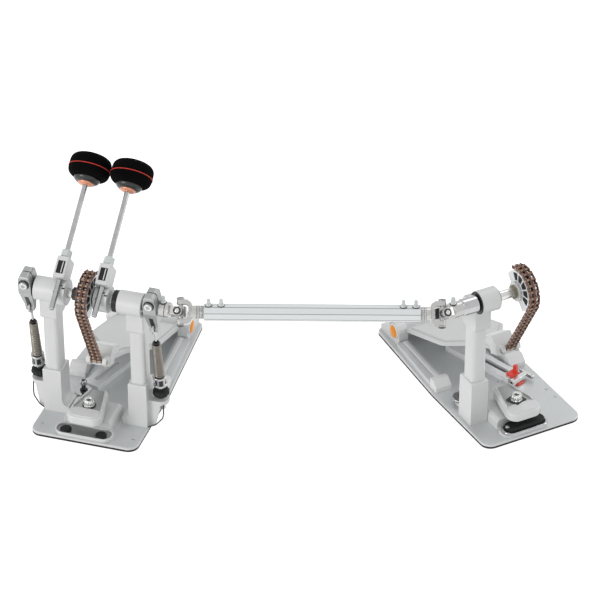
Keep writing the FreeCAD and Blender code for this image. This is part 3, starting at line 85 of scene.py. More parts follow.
# studio: white backdrop, soft lamps, pale floor
studioSetup = dict(
    fill=0.57, lampTarget=(0.22, 0.12, 0.1),
    floorColour=(0.80, 0.80, 0.80), floorGlow=0.72, floorSize=6.0, floorPlace=(0.2, 0.2, -0.0004),
    lamps=[  # name, place, width, power, colour
        ("keyLamp", (-2.2, -2.9, 1.0), 1.8, 54, (1.0, 0.99, 0.98)),
        ("sideLamp", (2.6, 1.2, 1.1), 1.2, 14, (0.97, 0.99, 1.0)),
        ("rearLamp", (0.4, 1.6, 2.8), 1.5, 9, (1.0, 1.0, 1.0)),
    ],
)


def addNode(tree, kind, **values):
    # values named in, with the socket's name after it, go to the sockets, the others to the node
    made = tree.nodes.new(kind)
    for key, value in values.items():
        if key.startswith("in") and key[2].isupper():
            made.inputs[key[2:]].default_value = value
        else:
            setattr(made, key, value)
    return made


def emptyTree(owner):
    owner.use_nodes = True
    owner.node_tree.nodes.clear()
    return owner.node_tree


def paleForEye(tree, lit, pale, output):
    # the pale shader to the camera, metal and glass, the lit one to the rest
    join = tree.links.new
    path = addNode(tree, "ShaderNodeLightPath")
    direct = addNode(tree, "ShaderNodeMath", operation="MAXIMUM")
    seen = addNode(tree, "ShaderNodeMath", operation="MAXIMUM")
    mix = addNode(tree, "ShaderNodeMixShader")
    join(path.outputs["Is Camera Ray"], direct.inputs[0])
    join(path.outputs["Is Glossy Ray"], direct.inputs[1])
    join(direct.outputs[0], seen.inputs[0])
    join(path.outputs["Is Transmission Ray"], seen.inputs[1])
    join(seen.outputs[0], mix.inputs[0])
    join(lit, mix.inputs[1])
    join(pale, mix.inputs[2])
    join(mix.outputs[0], output)


def makeWorld(setup):
    world = bpy.data.worlds.new("studio")
    scene.world = world
    tree = emptyTree(world)
    output = addNode(tree, "ShaderNodeOutputWorld")
    dim = addNode(tree, "ShaderNodeBackground", inColor=(1, 1, 1, 1), inStrength=setup["fill"])
    white = addNode(tree, "ShaderNodeBackground", inColor=(1, 1, 1, 1), inStrength=1.0)
    paleForEye(tree, dim.outputs[0], white.outputs[0], output.inputs["Surface"])


def makeLamps(setup):
    for name, place, size, power, colour in setup["lamps"]:
        data = bpy.data.lights.new(name, "AREA")
        data.shape = "DISK"
        data.size = size
        data.energy = power
        data.color = colour
        placeAimed(name, data, place, Vector(setup["lampTarget"]) - Vector(place))


def makeFloor(setup):
    mesh = bpy.data.meshes.new("studioFloor")
    shape = bmesh.new()
    bmesh.ops.create_grid(shape, x_segments=2, y_segments=2, size=setup["floorSize"])
    shape.to_mesh(mesh)
    shape.free()
    floor = bpy.data.objects.new("studioFloor", mesh)
    scene.collection.objects.link(floor)
    floor.location = setup["floorPlace"]
    paint = bpy.data.materials.new("floorPaint")
    tree = emptyTree(paint)
    output = addNode(tree, "ShaderNodeOutputMaterial")
    matt = addNode(tree, "ShaderNodeBsdfDiffuse", inColor=(*setup["floorColour"], 1))
    glow = addNode(tree, "ShaderNodeEmission", inColor=(1, 1, 1, 1), inStrength=setup["floorGlow"])
    shade = addNode(tree, "ShaderNodeAddShader")
    tree.links.new(matt.outputs[0], shade.inputs[0])
    tree.links.new(glow.outputs[0], shade.inputs[1])
    paleForEye(tree, matt.outputs[0], shade.outputs[0], output.inputs["Surface"])
    mesh.materials.append(paint)


makeWorld(studioSetup)
makeLamps(studioSetup)
makeFloor(studioSetup)
print("camera and studio ready")

# finishes: each names what differs from the plain one; shade is the dark patches' share of the colour
plainFinish = dict(
    shade=0.85, metal=0.0, rough=(0.30, 0.42), grain=300, relief=0.03, gloss=0.5, stretch=(1, 1, 1),
)
patchSetup = dict(
    broadRatio=28, fineDetail=3.0, broadDetail=2.0, share=0.5, rampAt=(0.32, 0.62),
    reliefDepth=0.0006, wornEdge=0.0006,
)
finishSettings = dict(
    castingPaint=dict(colour=(0.735, 0.745, 0.74), shade=0.94, metal=0.1, rough=(0.36, 0.50), grain=900,
                      relief=0.05),
    plateSatin=dict(colour=(0.65, 0.67, 0.675), shade=0.94, metal=0.25, rough=(0.30, 0.44), grain=420,
                    stretch=(1.0, 0.06, 1.0)),
    trayGrey=dict(colour=(0.34, 0.345, 0.345), shade=0.88, metal=0.5, rough=(0.30, 0.45), grain=500,
                  stretch=(0.08, 1.0, 1.0)),
    boardPaint=dict(colour=(0.64, 0.65, 0.65), shade=0.97, metal=0.05, grain=700, relief=0.02),
    tubeSatin=dict(colour=(0.82, 0.85, 0.86), shade=0.98, metal=0.15, rough=(0.26, 0.32), grain=60,
                   relief=0.004),
    chrome=dict(colour=(0.47, 0.47, 0.48), shade=0.80, metal=1.0, rough=(0.08, 0.2), grain=120, relief=0.02),
    brightMetal=dict(colour=(0.78, 0.79, 0.80), shade=0.95, metal=0.2, rough=(0.2, 0.3), relief=0.02),
    rodSteel=dict(colour=(0.66, 0.67, 0.66), metal=1.0, rough=(0.16, 0.28), relief=0.02),
    chainPlate=dict(colour=(0.25, 0.13, 0.098), shade=0.55, metal=0.6, rough=(0.30, 0.46), grain=260,
                    relief=0.06),
    # rollers and pins: a lighter tan than the plates, partly their own tone and partly painted highlight
    chainRoller=dict(colour=(0.34, 0.25, 0.19), shade=0.6, metal=0.8, rough=(0.22, 0.4), grain=260,
                     relief=0.05),
    chainPin=dict(colour=(0.40, 0.31, 0.25), shade=0.75, metal=0.85, rough=(0.2, 0.34), grain=260),
    springBronze=dict(colour=(0.30, 0.28, 0.245), shade=0.78, metal=0.9, rough=(0.26, 0.4), grain=400,
                      relief=0.04),
    rubberBlack=dict(colour=(0.012, 0.013, 0.014), shade=0.7, rough=(0.55, 0.75), grain=700, relief=0.12,
                     gloss=0.3),
    blackPlastic=dict(colour=(0.008, 0.008, 0.009), shade=0.7, rough=(0.28, 0.4), relief=0.04, gloss=0.35),
    feltBlack=dict(colour=(0.004, 0.004, 0.004), shade=0.4, rough=(0.95, 1.0), grain=1300, relief=0.8,
                   gloss=0.05),
    stripeRed=dict(colour=(0.70, 0.04, 0.025), shade=0.7, rough=(0.6, 0.8), grain=900, relief=0.3),
    clipRed=dict(colour=(0.88, 0.055, 0.03), shade=0.88, rough=(0.28, 0.40), grain=400, relief=0.04),
    collarGraphite=dict(colour=(0.04, 0.043, 0.043), shade=0.75, metal=0.5, rough=(0.2, 0.32)),
    ferruleCopper=dict(colour=(0.80, 0.34, 0.21), metal=0.3, rough=(0.22, 0.34)),
    amberPlastic=dict(colour=(0.98, 0.34, 0.008), shade=0.80, rough=(0.10, 0.18), grain=160, relief=0.02,
                      gloss=0.2),
    stripWhite=dict(colour=(0.80, 0.80, 0.80), shade=0.96, grain=400),
    nutFrost=dict(colour=(0.66, 0.71, 0.69), shade=0.90, metal=0.1, rough=(0.25, 0.38), grain=350,
                  relief=0.04),
    rockerSteel=dict(colour=(0.43, 0.44, 0.44), shade=0.88, metal=0.5, grain=800, relief=0.06),
    yokeMetal=dict(colour=(0.58, 0.575, 0.565), shade=0.88, metal=0.55, rough=(0.16, 0.28), grain=260),
    hubBronze=dict(colour=(0.28, 0.255, 0.185), shade=0.8, metal=0.6, rough=(0.25, 0.4), relief=0.04),
    # grey that paints the shade in the slave's slot and along the tube's edges
    slotGrey=dict(colour=(0.19, 0.195, 0.195), metal=0.3, rough=(0.4, 0.55), grain=500, relief=0.05),
)


def makeFinish(name, setup, patch):
    paint = bpy.data.materials.new(name)
    paint.use_nodes = True
    tree = paint.node_tree
    join = tree.links.new
    shader = tree.nodes["Principled BSDF"]
    shader.inputs["Metallic"].default_value = setup["metal"]
    shader.inputs["Specular IOR Level"].default_value = setup["gloss"]
    place = addNode(tree, "ShaderNodeTexCoord")
    scale = addNode(tree, "ShaderNodeMapping", inScale=setup["stretch"])
    join(place.outputs["Object"], scale.inputs["Vector"])
    fine = addNode(tree, "ShaderNodeTexNoise", inScale=setup["grain"], inDetail=patch["fineDetail"])
    join(scale.outputs[0], fine.inputs["Vector"])
    broadScale = setup["grain"] / patch["broadRatio"]
    broad = addNode(tree, "ShaderNodeTexNoise", inScale=broadScale, inDetail=patch["broadDetail"])
    join(place.outputs["Object"], broad.inputs["Vector"])
    half = addNode(tree, "ShaderNodeMath", operation="MULTIPLY")
    half.inputs[1].default_value = patch["share"]
    join(broad.outputs["Fac"], half.inputs[0])
    both = addNode(tree, "ShaderNodeMath", operation="MULTIPLY_ADD")
    both.inputs[1].default_value = patch["share"]
    join(fine.outputs["Fac"], both.inputs[0])
    join(half.outputs[0], both.inputs[2])
    tint = addNode(tree, "ShaderNodeValToRGB")
    dark = [part * setup["shade"] for part in setup["colour"]]
    for stop, spot, colour in zip(tint.color_ramp.elements, patch["rampAt"], (dark, setup["colour"])):
        stop.position = spot
        stop.color = (*colour, 1)
    join(both.outputs[0], tint.inputs[0])
    join(tint.outputs[0], shader.inputs["Base Color"])
    gloss = addNode(tree, "ShaderNodeMapRange")
    gloss.inputs["To Min"].default_value, gloss.inputs["To Max"].default_value = setup["rough"]
    join(both.outputs[0], gloss.inputs["Value"])
    join(gloss.outputs[0], shader.inputs["Roughness"])
    bump = addNode(tree, "ShaderNodeBump", inStrength=setup["relief"], inDistance=patch["reliefDepth"])
    join(fine.outputs["Fac"], bump.inputs["Height"])
    soft = addNode(tree, "ShaderNodeBevel", inRadius=patch["wornEdge"])  # worn edges catch the light
    join(soft.outputs[0], bump.inputs["Normal"])
    join(bump.outputs[0], shader.inputs["Normal"])
    return paint


finish = {
    name: makeFinish(name, {**plainFinish, **setup}, patchSetup) for name, setup in finishSettings.items()
}

# finish of the CAD nodes by the ends of their names; the others are chrome
nodeFinish = dict(
    castingPaint=("_post", "_heel_plate", "_clamp_base", "_clamp_jaw", "_beater_hub", "_toe_clamp"),
    rockerSteel=("_rocker",), brightMetal=("_sprocket",), plateSatin=("_base_plate",),
    boardPaint=("_footboard",), tubeSatin=("shaft_tube",), rodSteel=("main_axle", "_bearings", "_bearing"),
)


def dressNodes(choices):
    for node, item in nodes.items():
        chosen = [name for name, ends in choices.items() if node.endswith(ends)] + ["chrome"]
        item.data.materials.clear()
        item.data.materials.append(finish[chosen[0]])


dressNodes(nodeFinish)
print("finishes on the CAD nodes")

# frames of the moving groups, read from the joints; shapes below are in millimetres in these frames
unit = 0.001
upWay = Vector((0, 0, 1))
sideWay = Vector((1, 0, 0))
still = Matrix.Identity(4)
alongX = Matrix(((0, 0, 1, 0), (1, 0, 0, 0), (0, 1, 0, 0), (0, 0, 0, 1)))
axleBody = dict(left="main_axle", right="drive_axle")


def shift(x=0.0, y=0.0, z=0.0):
    return Matrix.Translation((x, y, z))


def spin(angle, axis):
    return Matrix.Rotation(angle, 4, axis)


def mirrored(side):
    return Matrix.Scale(side, 4, sideWay)


def jointPlace(name):
    return Vector(joints[name]["pos_m"])


def jointAxis(name):
    return Vector(joints[name]["axis"])


def frameFrom(place, xWay, zWay):
    xWay = xWay.normalized()
    yWay = zWay.cross(xWay).normalized()
    turn = Matrix((xWay, yWay, xWay.cross(yWay))).transposed().to_4x4()
    return Matrix.Translation(place) @ turn


axleZ = jointPlace("main_axle_turn").z
axleTurn = shift(z=axleZ / unit) @ alongX


def pedalFrame(pedal):
    # floor under the pedal's axle, x along the axle
    place = jointPlace(pedal + "_axle_turn")
    return frameFrom(Vector((place.x, place.y, 0)), jointAxis(pedal + "_axle_turn"), upWay)


def armFrame(side):
    # axle at the rocker, with -z towards the spring's ball seat
    ball = jointPlace(side + "_spring_swing")
    hub = Vector((ball.x, 0, axleZ))
    return frameFrom(hub, sideWay, hub - ball)


def beaterFrame(side):
    low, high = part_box(side + "_beater_hub")
    return frameFrom(Vector(((low.x + high.x) / 2, 0, axleZ)), sideWay, jointAxis(side + "_beater_height"))


def shaftFrame():
    return frameFrom(jointPlace("shaft_roll"), jointAxis("shaft_roll"), upWay)


def clampMiddle(pedal):
    low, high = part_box(pedal + "_clamp_bolt")
    return pedalFrame(pedal).inverted() @ ((low + high) / 2) / unit


# outlines in the x-y plane
def steppedRange(start, end, steps):
    return [start + (end - start) * step / steps for step in range(steps + 1)]


def circleOutline(radius, steps, x=0.0, y=0.0):
    angles = steppedRange(0, 2 * math.pi, steps)[:-1]
    return [(x + radius * math.cos(a), y + radius * math.sin(a)) for a in angles]


def hexagon(radius):
    return circleOutline(radius, 6)


def roundedOutline(corners, steps=6):
    # polygon of (x, y, radius) corners, each rounded by its own arc
    outline = []
    for index, (x, y, radius) in enumerate(corners):
        if not radius:
            outline.append((x, y))
            continue
        here = Vector((x, y))
        before = (Vector(corners[index - 1][:2]) - here).normalized()
        after = (Vector(corners[(index + 1) % len(corners)][:2]) - here).normalized()
        half = before.angle(after) / 2
        middle = here + (before + after).normalized() * radius / math.sin(half)
        first = here + before * radius / math.tan(half) - middle
        last = here + after * radius / math.tan(half) - middle
        sweep = first.angle_signed(last)
        for step in range(steps + 1):
            arm = first.copy()
            arm.rotate(Matrix.Rotation(-sweep * step / steps, 2))
            outline.append(tuple(middle + arm))
    return outline


def roundedRectangle(low, high, radius, steps=6):
    (left, front), (right, back) = low, high
    spots = [(right, back), (left, back), (left, front), (right, front)]
    return roundedOutline([(x, y, radius) for x, y in spots], steps)


# mesh tools: each adds to a shape and paints its faces with one of the piece's finishes
def addFace(shape, corners, paint):
    face = shape.faces.new(corners)
    face.material_index = paint


def joinRings(shape, rings, paint, closed=False):
    # walls between neighbouring rings, with triangles to a ring of one point
    pairs = list(zip(rings, rings[1:]))
    if closed:
        pairs.append((rings[-1], rings[0]))
    for low, high in pairs:
        steps = max(len(low), len(high))
        for step in range(steps):
            after = (step + 1) % steps
            if len(low) == 1:
                corners = (low[0], high[step], high[after])
            elif len(high) == 1:
                corners = (low[step], low[after], high[0])
            else:
                corners = (low[step], low[after], high[after], high[step])
            addFace(shape, corners, paint)


onAxis = 0.001  # a smaller radius is a point on the axis


def addLathe(shape, profile, turn=still, steps=32, paint=0, closed=False, flutes=(0, 0.0, 0.0)):
    # (radius, height) pairs turned about z; flutes are count, depth and the radius they start at
    count, depth, start = flutes
    rings = []
    for radius, height in profile:
        if radius < onAxis:
            rings.append([shape.verts.new(turn @ Vector((0, 0, height)))])
            continue
        ring = []
        for angle in steppedRange(0, 2 * math.pi, steps)[:-1]:
            reach = radius
            if count and radius > start:
                reach -= depth * (0.5 - 0.5 * math.cos(count * angle))
            spot = Vector((reach * math.cos(angle), reach * math.sin(angle), height))
            ring.append(shape.verts.new(turn @ spot))
        rings.append(ring)
    joinRings(shape, rings, paint, closed)


def addRod(shape, size, turn=still, steps=32, paint=0, ease=0.4):
    # solid turned bar with eased ends; size is radius, low and high
    radius, low, high = size
    profile = [(0, low), (radius - ease, low), (radius, low + ease)]
    profile += [(radius, high - ease), (radius - ease, high), (0, high)]
    addLathe(shape, profile, turn, steps, paint)


def addRing(shape, size, turn=still, steps=32, paint=0):
    # turned ring; size is inner radius, outer radius, low and high
    inner, outer, low, high = size
    section = [(inner, low), (outer, low), (outer, high), (inner, high)]
    addLathe(shape, section, turn, steps, paint, closed=True)


def addDome(shape, radius, heights, turn, steps, narrowing=0.6):
    # small domed screw head; heights of its foot, wall, shoulder and top
    low, wall, shoulder, top = heights
    profile = [(0, low), (radius, low), (radius, wall), (radius * narrowing, shoulder), (0, top)]
    addLathe(shape, profile, turn, steps)


def addPrism(shape, outline, low, high, turn=still, paint=0, taper=1.0):
    # outline extruded along z, its top scaled by the taper
    bottom = [shape.verts.new(turn @ Vector((x, y, low))) for x, y in outline]
    top = [shape.verts.new(turn @ Vector((x * taper, y * taper, high))) for x, y in outline]
    addFace(shape, list(reversed(bottom)), paint)
    addFace(shape, top, paint)
    joinRings(shape, [bottom, top], paint)


def addBox(shape, low, high, turn=still, paint=0):
    outline = [(low[0], low[1]), (high[0], low[1]), (high[0], high[1]), (low[0], high[1])]
    addPrism(shape, outline, low[2], high[2], turn, paint)


def addDash(shape, angle, middle, radius, size, paint):
    # small mark let into a turned surface, at an angle in degrees about x
    halfX, halfZ, sink, rise = size
    low, high = (middle - halfX, radius - sink, -halfZ), (middle + halfX, radius + rise, halfZ)
    addBox(shape, low, high, spin(math.radians(angle), "X"), paint)


def addTube(shape, path, radius, turn=still, wireSides=10, closed=False):
    # round wire along a path, without twist
    count = len(path)
    rings = []
    across = None
    for index, spot in enumerate(path):
        before = path[index - 1] if closed or index else spot
        after = path[(index + 1) % count] if closed or index < count - 1 else spot
        way = (after - before).normalized()
        if across is None:
            across = way.orthogonal().normalized()
        across = (across - way * across.dot(way)).normalized()
        other = way.cross(across)
        ring = [spot + (across * x + other * y) * radius for x, y in circleOutline(1, wireSides)]
        rings.append([shape.verts.new(turn @ corner) for corner in ring])
    joinRings(shape, rings, 0, closed)
    if not closed:
        addFace(shape, list(reversed(rings[0])), 0)
        addFace(shape, rings[-1], 0)


def addPlate(shape, outline, holes, low, high, turn=still):
    # flat plate with holes: capped by a triangle fill, walled between the caps
    levels = []
    for level in (low, high):
        rings = []
        for loop in [outline] + holes:
            rings.append([shape.verts.new(turn @ Vector((x, y, level))) for x, y in loop])
        edges = []
        for ring in rings:
            edges += [shape.edges.new((ring[index - 1], ring[index])) for index in range(len(ring))]
        bmesh.ops.triangle_fill(shape, use_beauty=True, use_dissolve=False, edges=edges)
        levels.append(rings)
    for bottom, top in zip(*levels):
        for index in range(len(bottom)):
            addFace(shape, (bottom[index - 1], bottom[index], top[index], top[index - 1]), 0)


def makePiece(name, shape, finishes, body, place, slot, stands=(), edge=0.3, crease=40):
    # turns a shape into a piece on a CAD body, with rounded edges
    bmesh.ops.recalc_face_normals(shape, faces=shape.faces)
    shape.transform(place @ Matrix.Scale(unit, 4))
    for face in shape.faces:
        face.smooth = True
    for line in shape.edges:
        line.smooth = line.is_manifold and line.calc_face_angle(0) < math.radians(crease)
    mesh = bpy.data.meshes.new(name)
    shape.to_mesh(mesh)
    shape.free()
    for finishName in finishes:
        mesh.materials.append(finish[finishName])
    piece = bpy.data.objects.new(name, mesh)
    scene.collection.objects.link(piece)
    if edge:
        rounding = piece.modifiers.new("edgeRound", "BEVEL")
        rounding.width = edge * unit
        rounding.segments = 2
        rounding.limit_method = "ANGLE"
        rounding.angle_limit = math.radians(crease)
    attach(piece, body)
    if stands:
        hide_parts(*stands)
    return piece


def framePiece(pedal, name, shape, finishes, slot, **more):
    # piece on the standing frame of a pedal
    makePiece(f"{pedal}_{name}", shape, finishes, pedal + "_frame", pedalFrame(pedal), slot, **more)


def makeEach(names, maker, setup):
    for name in names:
        maker(name, setup)


# beater heads: felt drum with a red thread, dark collar and copper ferrule
headSetup = dict(
    rodY=-18.3, middle=162.0, half=16.0, radius=27.0, fullness=3.6, rings=30, steps=64,
    threadRise=-2.6, threadRadius=0.6,
    collar=[(0, 146.6), (16.2, 146.6), (17.0, 146.2), (17.0, 145.2), (15.6, 143.0), (12.6, 140.9),
            (0, 140.7)],
    ferrule=[(0, 141.0), (10.0, 141.0), (10.3, 140.4), (9.6, 139.0), (7.6, 138.0), (4.4, 137.5), (0, 137.4)],
)


def roundDrum(setup):
    # superellipse section, flat on the faces and full at the shoulders
    power = 2 / setup["fullness"]
    profile = []
    for step in range(setup["rings"] + 1):
        angle = math.pi * (step / setup["rings"] - 0.5)
        rise = math.copysign(abs(math.sin(angle)) ** power, angle)
        inside = 0 < step < setup["rings"]
        radius = setup["radius"] * math.cos(angle) ** power if inside else 0.0
        profile.append((radius, setup["middle"] + setup["half"] * rise))
    return profile


def makeHead(side, setup):
    body, place = side + "_beater", beaterFrame(side)
    turn = shift(y=setup["rodY"])
    felt = bmesh.new()
    addLathe(felt, roundDrum(setup), turn, setup["steps"])
    drum = makePiece(body + "_felt", felt, ["feltBlack"], body, place, "felt", [body + "_head"],
                     edge=0, crease=60)
    trim = bmesh.new()
    height = setup["middle"] + setup["threadRise"]
    loop = [Vector((x, y, height)) for x, y in circleOutline(setup["radius"], setup["steps"])]
    addTube(trim, loop, setup["threadRadius"], turn, 8, closed=True)
    makePiece(body + "_thread", trim, ["stripeRed"], body, place, "felt", edge=0)
    metal = bmesh.new()
    addLathe(metal, setup["collar"], turn, 48)
    addLathe(metal, setup["ferrule"], turn, 40, 1)
    makePiece(body + "_ferrule", metal, ["collarGraphite", "ferruleCopper"], body, place, "steel",
              [body + "_head"], edge=0.25)


makeEach(sides, makeHead, headSetup)

# beater rods, each with a pale hexagon lock nut
rodSetup = dict(
    rodY=-18.3, rod=(3.5, -31.0, 141.0), rodEase=0.8,
    nut=(38.0, 49.0), nutRadius=7.4, nutEase=1.2, nutBevel=0.9,
)


def makeRod(side, setup):
    body = side + "_beater"
    turn = shift(y=setup["rodY"])
    rod = bmesh.new()
    addRod(rod, setup["rod"], turn, 28, ease=setup["rodEase"])
    ease, bevel = setup["nutEase"], setup["nutBevel"]
    bottom, top = setup["nut"][0] + ease, setup["nut"][1] - ease
    addPrism(rod, hexagon(setup["nutRadius"]), bottom, top, turn, 1)
    flat = setup["nutRadius"] * math.cos(math.pi / 6)
    for end, way in ((bottom, -ease), (top, ease)):
        shoulder = [(0, end - way), (flat, end - way), (flat, end), (flat - bevel, end + way), (0, end + way)]
        addLathe(rod, shoulder, turn, 28, 1)
    makePiece(body + "_rodBar", rod, ["chrome", "nutFrost"], body, beaterFrame(side), "steel",
              [body + "_rod"], edge=0.2)


makeEach(sides, makeRod, rodSetup)

# beater hubs: dark sight plate with a pale line in the holder's window, and dark dashes on the ring
hubSetup = dict(
    sight=((-4.5, -26.8, 15.3), (4.5, -25.6, 31.7)), line=((1.3, -27.0, 16.0), (2.5, -26.6, 31.0)),
    ringRadius=17.0, dashes=[(172, 3.6), (203, -3.4), (183, 7.0)], dashSize=(2.0, 0.9, 1.0, 0.25),
)


def makeHubTrim(side, setup):
    trim = bmesh.new()
    addBox(trim, *setup["sight"])
    addBox(trim, *setup["line"], paint=1)
    for angle, middle in setup["dashes"]:
        addDash(trim, angle, middle, setup["ringRadius"], setup["dashSize"], 0)
    makePiece(side + "_hub_sight", trim, ["blackPlastic", "stripWhite"], axleBody[side], beaterFrame(side),
              "rubber", edge=0.15)


makeEach(sides, makeHubTrim, hubSetup)
print("beaters made")

# roller chain: two rows of figure-eight plates, rollers and pins, one link from pin to pin
chainSetup = dict(
    pitch=8.0, step=math.radians(15), wrapLinks=9, links=dict(main=14, slave=13),
    endRadius=3.35, waist=2.3, waistEase=0.9, plateSteps=14, pinRadius=1.35, pinReach=7.7, pinEase=0.3,
    outer=[(-7.1, -6.3), (-0.4, 0.4), (6.3, 7.1)], inner=[(-6.1, -5.3), (-1.4, -0.6), (0.6, 1.4), (5.3, 6.1)],
    rollers=[(-5.2, -1.5), (1.5, 5.2)], roller=1.95, bore=1.5, toeRadius=2.2, toeReach=13.5,
)


def plateOutline(setup):
    # figure of eight round two pins on the y axis, at 0 and one pitch up
    waist, radius, pitch = setup["waist"], setup["endRadius"], setup["pitch"]
    lean = math.acos(waist / radius) * setup["waistEase"]
    outline = []
    for middle, start, side in ((pitch, lean, -1), (0.0, math.pi + lean, 1)):
        for step in range(setup["plateSteps"] + 1):
            angle = start + (math.pi - 2 * lean) * step / setup["plateSteps"]
            outline.append((radius * math.cos(angle), middle + radius * math.sin(angle)))
        outline.append((side * waist, pitch / 2))
    return outline


class Chain:
    # pin places of one pedal's chain, in the pedal's frame in millimetres
    def __init__(self, pedal, setup):
        self.setup = setup
        self.links = setup["links"][pedal]
        self.first = pedalFrame(pedal).inverted() @ jointPlace(pedal + "_run_swing") / unit
        self.hub = axleZ / unit
        self.radius = math.hypot(self.first.y, self.first.z - self.hub)
        self.start = math.atan2(self.first.z - self.hub, -self.first.y)
        slant = setup["step"] / 2 - self.start
        self.way = Vector((0, math.sin(slant), -math.cos(slant)))

    def pin(self, count):
        if count > 0:
            return self.first + self.way * self.setup["pitch"] * count
        angle = self.start - self.setup["step"] * count
        return Vector((0, -self.radius * math.cos(angle), self.hub + self.radius * math.sin(angle)))

    def addLink(self, shape, count):
        setup = self.setup
        low, high = self.pin(count), self.pin(count - 1)
        turn = frameFrom(low, (high - low).cross(sideWay), sideWay)
        pitch = (high - low).length
        outline = [(x, y * pitch / setup["pitch"]) for x, y in plateOutline(setup)]
        if (self.links - count) % 2:  # the toe's link is an outer one, and the kinds alternate
            self.addInner(shape, outline, turn, pitch)
        else:
            self.addOuter(shape, outline, turn, ((0, count), (pitch, count - 1)))

    def addInner(self, shape, outline, turn, pitch):
        setup = self.setup
        holes = [circleOutline(setup["bore"], setup["plateSteps"], y=middle) for middle in (0, pitch)]
        for bottom, top in setup["inner"]:
            addPlate(shape, outline, holes, bottom, top, turn)
        for bottom, top in setup["rollers"]:
            for middle in (0, pitch):
                addRing(shape, (setup["bore"], setup["roller"], bottom, top), turn @ shift(y=middle), 16, 1)

    def addOuter(self, shape, outline, turn, pins):
        setup = self.setup
        for bottom, top in setup["outer"]:
            addPrism(shape, outline, bottom, top, turn)
        for middle, place in pins:
            kind = "toe" if place == self.links else "pin"
            radius, reach = setup[kind + "Radius"], setup[kind + "Reach"]
            addRod(shape, (radius, -reach, reach), turn @ shift(y=middle), 14, 2, setup["pinEase"])


def makeChain(pedal, setup):
    chain = Chain(pedal, setup)
    groups = dict(
        wrap=range(1 - setup["wrapLinks"], -1), link_a=[-1], link_b=[0], run=range(1, chain.links + 1),
    )
    for group, counts in groups.items():
        shape = bmesh.new()
        for count in counts:
            chain.addLink(shape, count)
        node = f"{pedal}_chain_{group}"
        body = f"{pedal}_axle" if group == "wrap" else f"{pedal}_{group}"
        makePiece(node + "_plates", shape, ["chainPlate", "chainRoller", "chainPin"], body, pedalFrame(pedal),
                  "chain", [node], edge=0.12)


makeEach(pedals, makeChain, chainSetup)

# sprockets: painted shade as dark fills in the windows and a dark band under the wrapped chain; a dark ring
# and a hub nut
wheelSetup = dict(
    window=[(13.9, 2.9), (24.3, 5.3), (24.3, -5.3), (13.9, -2.9)], windowRound=1.6, windows=5,
    windowHalf=6.15, windowStep=math.radians(30), windowStart=math.radians(7.5),
    belt=(26.5, 27.9), beltHalf=5.2, beltSweep=(50, 126), ring=(7.0, 12.0, 7.5, 9.2),
    nut=dict(main=(8.4, -21.0, -10.0), slave=(9.0, -14.5, -10.0)),
    nutFinish=dict(main="blackPlastic", slave="hubBronze"),
)


def arcBand(inner, outer, start, end):
    # band round the axle in the y-z plane, angles measured up from the front
    angles = steppedRange(start, end, 28)
    outline = [(-outer * math.cos(a), outer * math.sin(a)) for a in angles]
    return outline + [(-inner * math.cos(a), inner * math.sin(a)) for a in reversed(angles)]


def makeWheelTrim(pedal, setup):
    start = Chain(pedal, chainSetup).start
    shape = bmesh.new()
    # painted shade: a black band behind the gaps of the wrapped chain
    low, high = (start + math.radians(angle) for angle in setup["beltSweep"])
    addPrism(shape, arcBand(*setup["belt"], low, high), -setup["beltHalf"], setup["beltHalf"], axleTurn)
    # painted shade: dark fills in the sprocket's windows
    window = roundedOutline([(-x, y, setup["windowRound"]) for x, y in setup["window"]])
    half = setup["windowHalf"]
    for count in range(setup["windows"]):
        angle = start + setup["windowStart"] + setup["windowStep"] * count
        addPrism(shape, window, -half, half, axleTurn @ spin(-angle, "Z"))
    radius, low, high = setup["nut"][pedal]
    addPrism(shape, hexagon(radius), low, high, axleTurn, 1)
    addRing(shape, setup["ring"], axleTurn, 36)
    makePiece(pedal + "_wheel_trim", shape, ["rubberBlack", setup["nutFinish"][pedal]], pedal + "_axle",
              pedalFrame(pedal), "rubber", edge=0.2)


makeEach(pedals, makeWheelTrim, wheelSetup)
print("chains and sprockets made")

# return springs: close coil, flaring downwards, with a dark cap, a caged nut and a fluted knob
springSetup = dict(
    low=-115.0, high=-61.2, wire=1.2, turns=19, topRadius=4.5, lowRadius=5.6, pointsPerTurn=18, core=3.6,
    cap=[(2.4, -58.4), (3.6, -58.4), (4.2, -59.0), (4.2, -60.6), (2.4, -60.6)], lap=1,
    cage=dict(low=-132.4, high=-116.2, radius=8.9, core=7.0, rim=3.4, rimEase=0.6),
    ribs=6, ribX=(5.6, 8.4), ribHalf=1.3,
    knob=[(0, -139.4), (6.4, -139.4), (9.4, -140.4), (11.0, -142.8), (11.0, -146.4), (10.0, -148.0),
          (6.0, -148.6), (0, -148.6)],
    knobFlutes=(12, 0.9, 9.0), stem=2.6, ball=(-153.0, 4.5), nut=(-172.5, -161.6), nutRadius=4.4,
)


def coilPath(setup):
    path = []
    total = setup["turns"] * setup["pointsPerTurn"]
    for step in range(total + 1):
        share = step / total
        angle = 2 * math.pi * setup["turns"] * share
        radius = setup["topRadius"] + (setup["lowRadius"] - setup["topRadius"]) * share
        height = setup["high"] + (setup["low"] - setup["high"]) * share
        path.append(Vector((radius * math.cos(angle), radius * math.sin(angle), height)))
    return path


def addCage(shape, setup):
    cage, lap = setup["cage"], setup["lap"]
    low, high, rim = cage["low"], cage["high"], cage["rim"]
    addRod(shape, (cage["core"], low + lap, high - lap), steps=24, paint=1)
    for bottom, top in ((low, low + rim), (high - rim, high)):
        addRod(shape, (cage["radius"], bottom, top), ease=cage["rimEase"])
    inside, outside = setup["ribX"]
    half = setup["ribHalf"]
    for rib in range(setup["ribs"]):
        turn = spin(2 * math.pi * (rib + 0.5) / setup["ribs"], "Z")
        addBox(shape, (inside, -half, low + lap), (outside, half, high - lap), turn)


